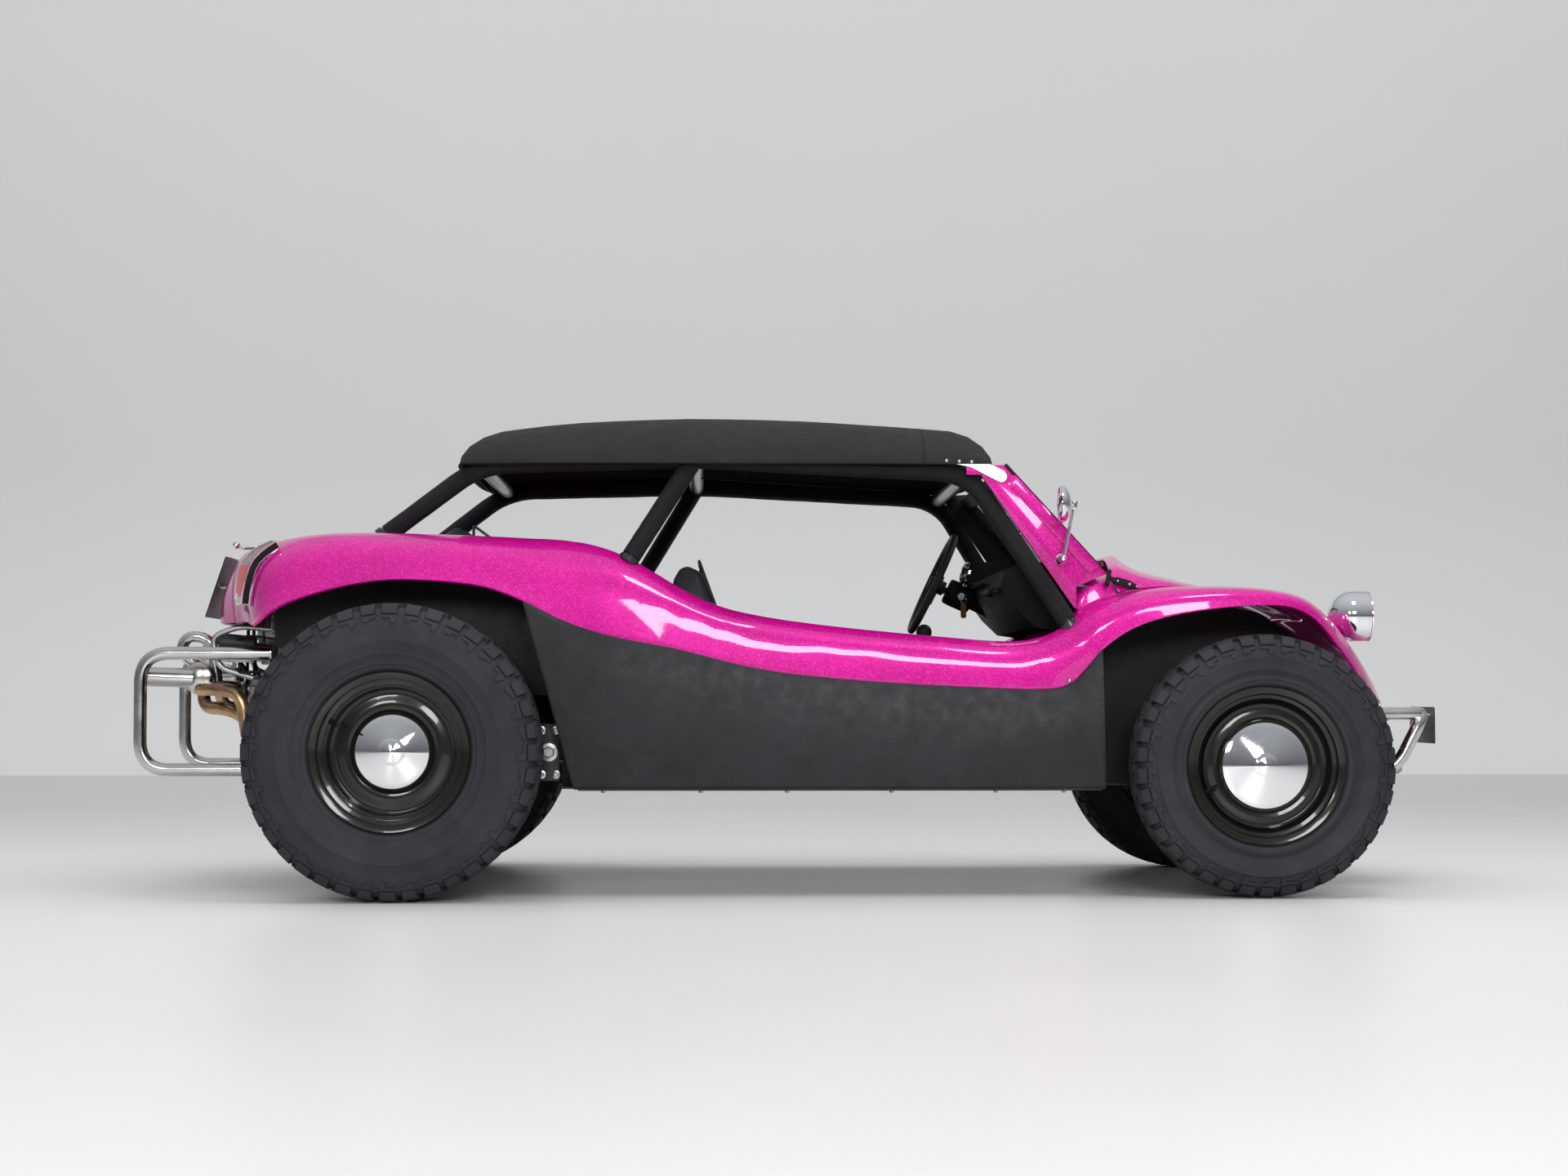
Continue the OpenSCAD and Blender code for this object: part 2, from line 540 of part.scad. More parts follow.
// Lift that clears the curve of the hood under the flat block
latch_seat = 2.8;
module hood_latches() color([0.05, 0.05, 0.05]) both() {
    p = on_body(latch_at[0], latch_at[1]);
    n = body_normal(latch_at[0], latch_at[1]);
    translate(p + n * (latch_seat + latch_size.z / 2)) rotate([0, acos(n.z), atan2(n.y, n.x)])
        cube(latch_size, center = true);
}
plate_w = 300;
plate_post_r = 6;
module plate(w, h) {
    cube([plate_t, w, h], center = true);
}
module front_plate() color([0.9, 0.9, 0.9]) {
    bar_x = wx(front_bar_x) + bumper_d / 2 + seat_gap;
    translate([wx(front_plate_x), 0, front_bar_z - 35]) plate(plate_w, 110);
    for (y = [-80, 80]) translate([bar_x, y, front_bar_z - 5]) rotate([0, 90, 0])
        cylinder(r = plate_post_r, h = wx(front_plate_x) - bar_x);
}
plate_off = 26;
module rear_plate() color([0.9, 0.9, 0.9]) {
    p = on_body(1.3, 0);
    translate(p + [-plate_off, 0, 0]) rotate([0, 18, 0]) plate(plate_w, 190);
    for (y = [-60, 60]) translate([p.x - plate_off, y, p.z]) rotate([0, 90, 0])
        cylinder(r = plate_post_r, h = plate_off + on_body(1.3, 0.3).x - p.x - 1.2);
}

// ---- bumpers ----
front_bar_x = 1772;
front_bar_z = 505;
front_hoop_y = 250;
front_bend = [1690, 345];
rear_hoop_y = 340;
rear_bar_z = 681;
rear_low_z = 345;
rear_root_x = -1600;
rear_tie_x = -1640;
bend_in = [18, 62];
module front_bumper() color([0.8, 0.8, 0.8]) {
    r = bumper_d / 2;
    y = wy(front_hoop_y);
    top = wx(front_bar_x);
    bend = wx(front_bend.x);
    both() {
        run([[top, 0, front_bar_z], [top, y, front_bar_z], [bend, y, front_bend.y], [wx(1500), y, beam_z],
            [wx(beam_x) + beam_r + seat_gap, y, beam_z]], r);
        tube([wx(1600), y, front_bar_z - 2], [top, y, front_bar_z], r - 1.5);
    }
    tube([bend, -y, front_bend.y], [bend, y, front_bend.y], r - 2);
}
module rear_bumper() color([0.8, 0.8, 0.8]) {
    r = bumper_d / 2;
    y = wy(rear_hoop_y);
    back = wx(rear_loop_x);
    tie = wx(rear_tie_x);
    both() run([[wx(rear_root_x), y, rear_bar_z], [back + bend_in[1], y, rear_bar_z],
        [back + bend_in[0], y, rear_bar_z - bend_in[0]], [back, y, rear_bar_z - bend_in[1]],
        [back, y, rear_low_z + bend_in[1]], [back + bend_in[0], y, rear_low_z + bend_in[0]],
        [back + bend_in[1], y, rear_low_z], [wx(rear_root_x), y, rear_low_z]], r);
    tube([tie, -y, rear_low_z], [tie, y, rear_low_z], r - 2);
}

// ---- engine and axles ----
case_x = [-1700, -1400];
case_half = 150;
case_top = 620;
bank_x = [-1660, -1440];
bank_z = [430, 590];
bank_y = 400;
cooler_x = [-1600, -1450];
cooler_half = 250;
cooler_top = 860;
pulley_at = [-1740, 520];
pulley_r = 85;
generator_z = 760;
generator_r = 70;
generator_h = 250;
module engine() color([0.6, 0.6, 0.62]) {
    low = rear_low_z + bumper_d / 2 - 2 + seat_gap;
    block([wx(case_x[0]), -case_half, low], [wx(case_x[1]), case_half, case_top]);
    both() block([wx(bank_x[0]), case_half, bank_z[0]], [wx(bank_x[1]), bank_y, bank_z[1]]);
    block([wx(cooler_x[0]), -cooler_half, case_top], [wx(cooler_x[1]), cooler_half, cooler_top]);
    translate([wx(pulley_at.x), 0, pulley_at.y]) rotate([0, 90, 0]) cylinder(r = pulley_r, h = 40);
    translate([wx(case_x[0]), 0, generator_z]) rotate([0, 90, 0]) cylinder(r = generator_r, h = generator_h);
}
muffler_at = [-1830, 610];
muffler_r = 46;
muffler_h = 510;
header_z = 402;
tail_r = 29;
tail_end = [-1978, -268, 614];
module exhaust() color([0.55, 0.45, 0.3]) {
    r = pipe_d / 2;
    box = [wx(muffler_at.x), 0, muffler_at.y];
    port_z = bank_z[0] - seat_gap;
    both() {
        run([[wx(-1620), 340, port_z], [wx(-1620), 340, header_z], [wx(-1700), 320, header_z + 3],
            [box.x + 15, 225, box.z - 10]], r);
        run([[wx(-1480), 250, port_z], [wx(-1480), 250, header_z], [wx(-1710), 215, header_z],
            [box.x + 15, 150, box.z - 10]], r);
    }
    translate(box - [0, muffler_h / 2, 0]) rotate([-90, 0, 0]) cylinder(r = muffler_r, h = muffler_h);
    tube(box - [20, 235, 0], [wx(tail_end.x), tail_end.y, tail_end.z], tail_r);
}
torsion_r = 38;
torsion_z = 400;
bell_r = 120;
bell_h = 180;
gearbox_x = [-1230, -860];
gearbox_half = 90;
axle_tube_r = 30;
drum_r = 110;
drum_h = 12;
drum_in = 70;
trail_y = 200;
trail_t = 12;
trail_h = 35;
cover_half = [30, 80];
module rear_axle() color([0.25, 0.25, 0.27]) {
    z = rear_axle_z;
    y = rear_track / 2;
    torsion_x = wx(seat_riser_x) - torsion_r - seat_gap;
    cover_y = y - trail_y + trail_t + 3;
    translate([wx(case_x[1]) + seat_gap, 0, z]) rotate([0, 90, 0]) cylinder(r = bell_r, h = bell_h);
    block([wx(gearbox_x[0]), -gearbox_half, z - gearbox_half],
        [wx(gearbox_x[1]), gearbox_half, z + gearbox_half]);
    translate([rear_x, drum_in - y, z]) rotate([-90, 0, 0]) cylinder(r = axle_tube_r, h = 2 * (y - drum_in));
    both() {
        translate([rear_x, y - drum_in, z]) rotate([-90, 0, 0]) cylinder(r = drum_r, h = drum_h);
        translate([rear_x, y - drum_in + 10, z]) rotate([-90, 0, 0])
            cylinder(r = spindle_r, h = drum_in - 12 + rear_disc_z);
        side_plate([[rear_x - 40, z - trail_h], [torsion_x, torsion_z - trail_h + 3],
            [torsion_x, torsion_z + trail_h - 3], [rear_x - 40, z + trail_h]],
            y - trail_y, y - trail_y + trail_t);
        side_plate([[torsion_x - cover_half[0], torsion_z - cover_half[1]],
            [torsion_x + cover_half[0], torsion_z - cover_half[1]],
            [torsion_x + cover_half[0], torsion_z + cover_half[1]],
            [torsion_x - cover_half[0], torsion_z + cover_half[1]]], cover_y, cover_y + trail_t);
    }
    translate([torsion_x, -cover_y - 5, torsion_z]) rotate([-90, 0, 0])
        cylinder(r = torsion_r, h = 2 * (cover_y + 5));
}

king_in = 83;
king_y = front_track / 2 - king_in;
king_r = 9;
king_h = 59;
eye_r = 20;
eye_h = 30;
arm_r = 13;
arm_y = 130;
beam_x = 1355;
beam_r = 32;
beam_gap = 75;
beam_z = front_axle_z - beam_gap;
mount_y = [300, 330];
nose_half = 60;
module front_beam() color([0.25, 0.25, 0.27]) {
    beam_half = king_y - arm_y + 20;
    for (z = [front_axle_z - beam_gap, front_axle_z + beam_gap]) {
        translate([wx(beam_x), -beam_half, z]) rotate([-90, 0, 0]) cylinder(r = beam_r, h = 2 * beam_half);
        both() {
            tube([wx(beam_x), king_y - arm_y, z], [front_x, king_y, z], arm_r);
            translate([front_x, king_y, z - eye_h / 2]) cylinder(r = eye_r, h = eye_h);
        }
    }
    both() {
        translate([front_x, king_y, beam_z]) cylinder(r = king_r, h = 2 * beam_gap);
        block([wx(beam_x) - 20, mount_y[0], beam_z], [wx(beam_x) + 20, mount_y[1], 700]);
    }
    block([wx(bulkhead_x) + seat_gap, -nose_half, beam_z + 15], [wx(beam_x), nose_half, beam_z + 45]);
}
king_tube_r = 19;
hub_len = 55;
hub_face = 30;
brake_r = 105;
brake_t = 10;
steer_arm = [-130, -10, -30];
module knuckle(side) color([0.3, 0.3, 0.32]) translate([front_x, side * king_y, front_axle_z])
    scale([1, side, 1]) difference() {
        union() {
            translate([0, 0, -king_h]) cylinder(r = king_tube_r, h = 2 * king_h);
            rotate([-90, 0, 0]) cylinder(r = spindle_r + 5, h = hub_len);
            rotate([-90, 0, 0]) cylinder(r = spindle_r, h = king_in + front_disc_z - 2);
            translate([0, hub_face, 0]) rotate([-90, 0, 0]) cylinder(r = brake_r, h = brake_t);
            tube([0, 0, steer_arm.z], steer_arm, 11);
        }
        translate([0, 0, -king_h - 1]) cylinder(r = king_r + run_gap, h = 2 * king_h + 2);
    }
module left_knuckle() knuckle(1);
module right_knuckle() knuckle(-1);

// ---- wheels: local +Z is outboard, z = 0 is the tyre's centre plane ----
module wheel_at(x, z, track, side) {
    translate([x, side * track / 2, z]) rotate([-90 * side, 0, 0]) children();
}
// Thickness of the tyres under the tread
tread_t = 22;
module tyre(d, w, rim_w) {
    bead = rim_d / 2 + 0.2;
    r = d / 2;
    wall = r - bead;
    half = w / 2;
    seat = rim_w / 2 - 1;
    low = bead + min(60, 0.38 * wall);
    bulge = bead + min(95, 0.588 * wall);
    high = r - min(70, 0.434 * wall);
    inside = [bead + min(40, 0.25 * wall), r - min(60, 0.38 * wall), r - tread_t - 2];
    rotate_extrude() polygon([[bead, -seat], [bead + 16, -seat], [bead + 26, -seat - 6],
        [low, -half + 8], [bulge, -half], [high, -half + 2], [r - 25, -half + 14],
        [r - 6, -half + 34], [r, -half + 60], [r, half - 60], [r - 6, half - 34],
        [r - 25, half - 14], [high, half - 2], [bulge, half], [low, half - 8],
        [bead + 26, seat + 6], [bead + 16, seat], [bead, seat], [bead, seat - 22],
        [inside[0], seat - 12], [inside[1], half - 30], [inside[2], half - 64],
        [r - tread_t, 0], [inside[2], -half + 64], [inside[1], -half + 30], [inside[0], -seat + 12],
        [bead, -seat + 22]]);
}
flange_h = 15;
rim_t = 6;
hub_wall = 22;
stud_circle_r = 65;
stud_hole_r = 7;
module rim(rim_w, disc_z) {
    b = rim_d / 2;
    seat = rim_w / 2;
    difference() {
        rotate_extrude() polygon([
            [b, -seat], [b + flange_h, -seat - 1], [b + flange_h + 2, -seat - 8], [b + flange_h - 4, -seat - 9],
            [b - rim_t, -seat - 2], [b - rim_t, -seat + 26], [b - 28, -seat + 40], [b - 28, disc_z - 6],
            [b - 60, disc_z - 12], [78, disc_z - 22], [spindle_r + hub_wall, disc_z - 22],
            [spindle_r + hub_wall, disc_z - hub_len], [spindle_r + run_gap, disc_z - hub_len],
            [spindle_r + run_gap, disc_z], [78, disc_z - 10], [b - 62, disc_z], [b - 34, disc_z + 6],
            [b - 28, disc_z + 14], [b - 28, seat - 34], [b - rim_t, seat - 24], [b - rim_t, seat + 2],
            [b + flange_h - 4, seat + 9], [b + flange_h + 2, seat + 8], [b + flange_h, seat + 1], [b, seat],
            [b, seat - 24], [b - 22, seat - 36], [b - 22, -seat + 36], [b, -seat + 24]]);
        for (k = [0:4]) rotate([0, 0, 72 * k]) translate([stud_circle_r, 0, disc_z - 40])
            cylinder(r = stud_hole_r, h = 60);
    }
}
// Domed cap: radius and height
rear_cap_size = [103, 55];
front_cap_size = [121, 52];
module wheel_cap(size, disc_z) {
    r = size[0];
    h = size[1];
    base = disc_z + seat_gap;
    rotate_extrude() intersection() {
        translate([0, base - 10]) square([r, h + 10]);
        union() {
            translate([0, base + h - r * r / (2 * h) - h / 2]) circle(r * r / (2 * h) + h / 2);
            square(0.01);
        }
        translate([0, base]) square([r, h]);
    }
}
rear_disc_z = 10;
front_disc_z = 34;
module rear_tyre(side) color([0.1, 0.1, 0.1])
    wheel_at(rear_x, rear_axle_z, rear_track, side) tyre(rear_tyre_d, rear_tyre_w, rear_rim_w);
module front_tyre(side) color([0.1, 0.1, 0.1])
    wheel_at(front_x, front_axle_z, front_track, side) tyre(front_tyre_d, front_tyre_w, front_rim_w);
module rear_rim(side) color([0.2, 0.19, 0.15])
    wheel_at(rear_x, rear_axle_z, rear_track, side) rim(rear_rim_w, rear_disc_z);
module front_rim(side) color([0.2, 0.19, 0.15])
    wheel_at(front_x, front_axle_z, front_track, side) rim(front_rim_w, front_disc_z);
module rear_cap(side) color([0.85, 0.85, 0.87])
    wheel_at(rear_x, rear_axle_z, rear_track, side) wheel_cap(rear_cap_size, rear_disc_z);
module front_cap(side) color([0.85, 0.85, 0.87])
    wheel_at(front_x, front_axle_z, front_track, side) wheel_cap(front_cap_size, front_disc_z);

module place() {
    translate([centre_x, 0, 0]) children();
}
place() body_shell();
place() left_side_panel();
place() right_side_panel();
place() inner_tub();
place() floorpan();
place() hood();
place() engine_lid();
place() windshield_frame();
place() windshield_glass();
place() roof();
place() roll_cage();
place() dashboard();
place() steering_column();
place() steering_wheel();
place() gear_lever();
place() driver_seat();
place() passenger_seat();
place() rear_seat();
place() left_headlamp();
place() right_headlamp();
place() tail_lamps();
place() mirrors();
place() hood_latches();
place() front_bumper();
place() rear_bumper();
place() front_plate();
place() rear_plate();
place() engine();
place() exhaust();
place() rear_axle();
place() front_beam();
place() left_knuckle();
place() right_knuckle();
place() rear_tyre(1);  // rear_left_tyre
place() rear_tyre(-1);  // rear_right_tyre
place() front_tyre(1);  // front_left_tyre
place() front_tyre(-1);  // front_right_tyre
place() rear_rim(1);  // rear_left_rim
place() rear_rim(-1);  // rear_right_rim
place() front_rim(1);  // front_left_rim
place() front_rim(-1);  // front_right_rim
place() rear_cap(1);  // rear_left_cap
place() rear_cap(-1);  // rear_right_cap
place() front_cap(1);  // front_left_cap
place() front_cap(-1);  // front_right_cap
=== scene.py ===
"""Looks of a long-wheelbase dune buggy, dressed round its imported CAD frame.

Lengths are metres, +X forward, +Y the car's left, +Z up, and the floor is z = 0.
Routes are written about the middle of the wheelbase and moved to the frame by Datum.
"""

import logging
import math
from dataclasses import dataclass
from enum import Enum
from typing import Callable, Optional, Sequence

import bmesh
import bpy
import numpy as np
from mathutils import Matrix, Vector


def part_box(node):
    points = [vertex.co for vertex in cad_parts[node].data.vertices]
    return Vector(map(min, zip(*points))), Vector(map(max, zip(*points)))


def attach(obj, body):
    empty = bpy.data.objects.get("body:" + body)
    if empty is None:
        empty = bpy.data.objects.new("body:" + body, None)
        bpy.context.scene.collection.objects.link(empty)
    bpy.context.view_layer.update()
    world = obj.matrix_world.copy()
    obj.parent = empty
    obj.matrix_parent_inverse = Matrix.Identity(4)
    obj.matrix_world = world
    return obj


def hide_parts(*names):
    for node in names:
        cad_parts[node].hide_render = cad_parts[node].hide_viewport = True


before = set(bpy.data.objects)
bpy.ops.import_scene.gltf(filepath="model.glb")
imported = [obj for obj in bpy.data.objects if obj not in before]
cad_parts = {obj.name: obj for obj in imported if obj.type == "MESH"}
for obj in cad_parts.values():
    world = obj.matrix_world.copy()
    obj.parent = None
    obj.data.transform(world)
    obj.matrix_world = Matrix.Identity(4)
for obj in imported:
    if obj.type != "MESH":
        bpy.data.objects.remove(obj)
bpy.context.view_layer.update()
log = logging.getLogger("buggy")
Point = tuple[float, float, float]
Colour = tuple[float, float, float]
Profile = Sequence[tuple[float, float]]
LEFT, RIGHT = 1, -1
SIDE_NAMES = {LEFT: "left", RIGHT: "right"}


# ---- finishes ----

class Grain(Enum):
    """Pattern of a finish's fine relief."""

    CAST = "cast"
    LEATHER = "leather"
    WEAVE = "weave"
    BRUSHED = "brushed"
    FLAKE = "flake"


class Graph:
    """Builds one material's nodes."""

    def __init__(self, name: str) -> None:
        """Start a material with a Principled shader and the object's own coordinates.

        Args:
            name: The material's name.
        """
        self.material = bpy.data.materials.new(name)
        self.material.use_nodes = True
        self.nodes = self.material.node_tree.nodes
        self.links = self.material.node_tree.links
        self.shader = self.nodes["Principled BSDF"]
        self.coords = self.nodes.new("ShaderNodeTexCoord").outputs["Object"]

    def node(self, kind: str, inputs: Optional[dict] = None, **settings: object) -> bpy.types.Node:
        """Add a node.

        Args:
            kind: Blender's node type, without the ShaderNode prefix.
            inputs: Socket name to a value or to another node's output.
            settings: Attributes to set on the node.

        Returns:
            The new node.
        """
        made = self.nodes.new("ShaderNode" + kind)
        for key, value in settings.items():
            setattr(made, key, value)
        for key, value in (inputs or {}).items():
            if isinstance(value, bpy.types.NodeSocket):
                self.links.new(value, made.inputs[key])
            else:
                made.inputs[key].default_value = value
        return made

    def noise(self, scale: float, detail: float = 2.0,
              stretch: Point = (1, 1, 1)) -> bpy.types.NodeSocket:
        """Return a noise value of so many cells a metre, squeezed along each axis by stretch."""
        at = self.node("Mapping", {"Vector": self.coords, "Scale": stretch}).outputs[0]
        return self.node("TexNoise", {"Vector": at, "Scale": scale,
                                      "Detail": detail}).outputs["Fac"]

    def spread(self, value: bpy.types.NodeSocket, low: float, high: float) -> bpy.types.NodeSocket:
        """Map a noise value's usual span, 0.3 to 0.7, to low to high."""
        made = self.node("MapRange", {"Value": value, "From Min": 0.3, "From Max": 0.7,
                                      "To Min": low, "To Max": high})
        return made.outputs["Result"]

    def blend(self, share: bpy.types.NodeSocket, a: Colour, b: Colour) -> bpy.types.NodeSocket:
        """Mix two colours by a share from 0 to 1."""
        made = self.node("Mix", {"Factor": share}, data_type="RGBA")
        made.inputs[6].default_value = (*a, 1)
        made.inputs[7].default_value = (*b, 1)
        return made.outputs[2]

    def relief(self, height: bpy.types.NodeSocket, depth: float) -> None:
        """Raise the surface's relief on the shader's normal.

        Args:
            height: Value from 0 to 1.
            depth: Height of the relief in metres.
        """
        bump = self.node("Bump", {"Height": height, "Distance": depth, "Strength": 1.0})
        if self.shader.inputs["Normal"].is_linked:
            self.links.new(self.shader.inputs["Normal"].links[0].from_socket, bump.inputs["Normal"])
        self.links.new(bump.outputs[0], self.shader.inputs["Normal"])

    def feed(self, socket: str, value: object) -> None:
        """Set or link one of the shader's sockets."""
        if isinstance(value, bpy.types.NodeSocket):
            self.links.new(value, self.shader.inputs[socket])
        else:
            self.shader.inputs[socket].default_value = value


@dataclass(frozen=True)
class Finish:
    """A surface finish: its colour, gloss and fine relief, and the record's slot it belongs to."""

    name: str
    slot: str
    colour: Colour
    roughness: float = 0.5
    metallic: float = 0.0
    coat: float = 0.0
    coat_roughness: float = 0.04
    sheen: float = 0.0
    transmission: float = 0.0
    ior: float = 1.5
    mottle: float = 0.18
    mottle_scale: float = 9.0
    uneven: float = 0.12
    grain: Grain = Grain.CAST
    grain_scale: float = 420.0
    grain_depth: float = 0.0002

    def shade(self, share: float) -> Colour:
        """Return the colour made lighter, or darker for a negative share."""
        return tuple(min(1.0, c * (1 + share)) for c in self.colour)

    def paint(self, graph: Graph) -> None:
        """Give the surface its uneven colour."""
        cloud = graph.spread(graph.noise(self.mottle_scale, 4), 0, 1)
        graph.feed("Base Color", graph.blend(cloud, self.shade(-self.mottle),
                                             self.shade(self.mottle)))

    def texture(self, graph: Graph) -> None:
        """Give the surface its fine relief."""
        scale = self.grain_scale
        if self.grain is Grain.LEATHER:
            cells = graph.node("TexVoronoi", {"Vector": graph.coords, "Scale": scale},
                               feature="DISTANCE_TO_EDGE")
            height = graph.node("MapRange", {"Value": cells.outputs["Distance"],
                                             "From Max": 0.18}).outputs["Result"]
        elif self.grain is Grain.WEAVE:
            warp = graph.node("TexWave", {"Vector": graph.coords, "Scale": scale / 6},
                              bands_direction="X")
            weft = graph.node("TexWave", {"Vector": graph.coords, "Scale": scale / 6},
                              bands_direction="Z")
            height = graph.node("Math", {0: warp.outputs["Fac"], 1: weft.outputs["Fac"]},
                                operation="MAXIMUM").outputs[0]
        elif self.grain is Grain.BRUSHED:
            height = graph.noise(scale, 2, (0.04, 1, 1))
        elif self.grain is Grain.FLAKE:
            height = graph.node("TexVoronoi",
                                {"Vector": graph.coords, "Scale": scale}).outputs["Distance"]
        else:
            height = graph.noise(scale, 3)
        graph.relief(height, self.grain_depth)

    def material(self) -> bpy.types.Material:
        """Return this finish's material, made once."""
        known = bpy.data.materials.get(self.name)
        if known:
            return known
        graph = Graph(self.name)
        graph.feed("Metallic", self.metallic)
        graph.feed("Coat Weight", self.coat)
        graph.feed("Coat Roughness", self.coat_roughness)
        graph.feed("Sheen Weight", self.sheen)
        graph.feed("Transmission Weight", self.transmission)
        graph.feed("IOR", self.ior)
        low, high = self.roughness * (1 - self.uneven), self.roughness * (1 + self.uneven)
        graph.feed("Roughness", graph.spread(graph.noise(self.mottle_scale * 3, 3), low, high))
        self.paint(graph)
        self.texture(graph)
        return graph.material


@dataclass(frozen=True)
class FlakeLacquer(Finish):
    """Clear lacquer over metal flakes that each catch the light on their own."""

    flake_scale: float = 330.0
    flake_colour: Colour = (0.8, 0.012, 0.42)
    deep_colour: Colour = (0.3, 0.0, 0.13)

    def paint(self, graph: Graph) -> None:
        """Scatter bright and deep flakes in the base colour."""
        cells = graph.node("TexVoronoi", {"Vector": graph.coords, "Scale": self.flake_scale})
        pick = graph.node("SeparateColor", {"Color": cells.outputs["Color"]})
        bright = graph.node("MapRange", {"Value": pick.outputs[0], "From Min": 0.72,
                                         "From Max": 1.0})
        deep = graph.node("MapRange", {"Value": pick.outputs[1], "From Min": 0.62, "From Max": 1.0,
                                       "To Max": 0.75})
        cloud = graph.spread(graph.noise(self.mottle_scale, 2), 0, 1)
        base = graph.blend(cloud, self.shade(-self.mottle), self.shade(self.mottle))
        darker = graph.node("Mix", {"Factor": deep.outputs["Result"], 6: base}, data_type="RGBA")
        darker.inputs[7].default_value = (*self.deep_colour, 1)
        lighter = graph.node("Mix", {"Factor": bright.outputs["Result"], 6: darker.outputs[2]},
                             data_type="RGBA")
        lighter.inputs[7].default_value = (*self.flake_colour, 1)
        graph.feed("Base Color", lighter.outputs[2])


@dataclass(frozen=True)
class HeatTint(Finish):
    """Bare steel tinted from straw to bronze and blue by heat."""

    straw: Colour = (0.62, 0.43, 0.22)
    blued: Colour = (0.16, 0.13, 0.2)

    def paint(self, graph: Graph) -> None:
        """Blend the heat colours in patches along the pipes."""
        patches = graph.spread(graph.noise(self.mottle_scale, 4), 0, 1)
        ramp = graph.node("ValToRGB", {"Fac": patches})
        stops = ramp.color_ramp.elements
        stops[0].color = (*self.blued, 1)
        stops[1].color = (*self.straw, 1)
        stops.new(0.42).color = (*self.colour, 1)
        graph.feed("Base Color", ramp.outputs["Color"])


@dataclass(frozen=True)
class DustyRubber(Finish):
    """Tyre rubber with a bloom of dust in soft patches."""

    dust: Colour = (0.042, 0.041, 0.042)

    def paint(self, graph: Graph) -> None:
        """Lay dust over the rubber in soft patches."""
        patches = graph.spread(graph.noise(self.mottle_scale, 5), 0, 0.55)
        fine = graph.spread(graph.noise(self.grain_scale, 2), 0.5, 1.3)
        share = graph.node("Math", {0: patches, 1: fine}, operation="MULTIPLY").outputs[0]
        graph.feed("Base Color", graph.blend(share, self.colour, self.dust))


PAINT = FlakeLacquer(
    "magenta_flake", "flake_paint", (0.5, 0.0, 0.215), roughness=0.36, metallic=0.25, ior=1.3,
    coat=0.8,
    mottle=0.1, mottle_scale=4, grain=Grain.FLAKE, grain_scale=330, grain_depth=0.00012)
COATING = Finish(
    "textured_coating", "textured_black", (0.0135, 0.0132, 0.0162), roughness=0.47, ior=1.38,
    mottle=0.22,
    grain_scale=170, grain_depth=0.0009, uneven=0.2)
TUB = Finish("tub_gelcoat", "tub_black", (0.01, 0.01, 0.0112), roughness=0.5, ior=1.35,
             grain_scale=120, grain_depth=0.0006)
CHASSIS = Finish("chassis_enamel", "chassis_black", (0.02, 0.02, 0.022), roughness=0.38,
                 grain_scale=260,
                 grain_depth=0.0002)
ROOFING = Finish(
    "roof_grain", "roof_vinyl", (0.017, 0.017, 0.0168), roughness=0.75, ior=1.35, mottle=0.08,
    grain=Grain.LEATHER,
    grain_scale=420, grain_depth=0.0003)
SLEEVE = Finish(
    "cage_sleeve", "cage_black", (0.009, 0.009, 0.0095), roughness=0.62, sheen=0.02, ior=1.3,
    grain=Grain.WEAVE,
    grain_scale=1500, grain_depth=0.0004)
TUBING = Finish("cage_enamel", "cage_black", (0.014, 0.014, 0.015), roughness=0.3, coat=0.3,
                grain_depth=0.0001)
DASH = Finish(
    "dash_vinyl", "dash_black", (0.005, 0.005, 0.0056), roughness=0.55, ior=1.25,
    grain=Grain.LEATHER, grain_scale=520,
    grain_depth=0.0004)
GRIP = Finish(
    "grip_leather", "wheel_leather", (0.013, 0.013, 0.014), roughness=0.42, grain=Grain.LEATHER,
    grain_scale=700,
    grain_depth=0.0004)
VINYL = Finish(
    "seat_grain", "seat_vinyl", (0.016, 0.017, 0.021), roughness=0.4, grain=Grain.LEATHER,
    grain_scale=460,
    grain_depth=0.0006, uneven=0.25)
THREAD = Finish("stitch_thread", "seat_vinyl", (0.05, 0.05, 0.055), roughness=0.7, grain_scale=2500)
CHROME = Finish(
    "bright_chrome", "chrome", (0.86, 0.87, 0.88), roughness=0.045, metallic=1.0, mottle=0.03,
    uneven=0.5,
    grain_scale=40, grain_depth=0.00002)
SILVERED = Finish("silvered_glass", "chrome", (0.93, 0.94, 0.95), roughness=0.02, metallic=1.0,
                  mottle=0.01,
                  grain_depth=0.00001)
STAINLESS = Finish(
    "satin_stainless", "stainless", (0.6, 0.585, 0.56), roughness=0.17, metallic=1.0, mottle=0.1,
    grain=Grain.BRUSHED, grain_scale=900, grain_depth=0.00004, uneven=0.3)
FASTENER = Finish("plated_steel", "stainless", (0.6, 0.59, 0.55), roughness=0.3, metallic=1.0,
                  grain_depth=0.0001)
BRONZED = HeatTint(
    "heat_tinted_steel", "bronze_steel", (0.42, 0.26, 0.15), roughness=0.3, metallic=1.0,
    mottle_scale=14,
    grain=Grain.BRUSHED, grain_scale=700, grain_depth=0.00005)
CAST = Finish(
    "cast_alloy", "cast_alloy", (0.42, 0.42, 0.42), roughness=0.5, metallic=0.85, mottle=0.3,
    mottle_scale=22,
    grain_scale=500, grain_depth=0.0007)
SHEET = Finish("engine_tinware", "cast_alloy", (0.03, 0.03, 0.032), roughness=0.33, coat=0.4,
               grain_depth=0.0001)
FORGED = Finish(
    "forged_steel", "cast_steel", (0.045, 0.045, 0.05), roughness=0.5, metallic=0.4,
    grain_scale=340,
    grain_depth=0.0005)
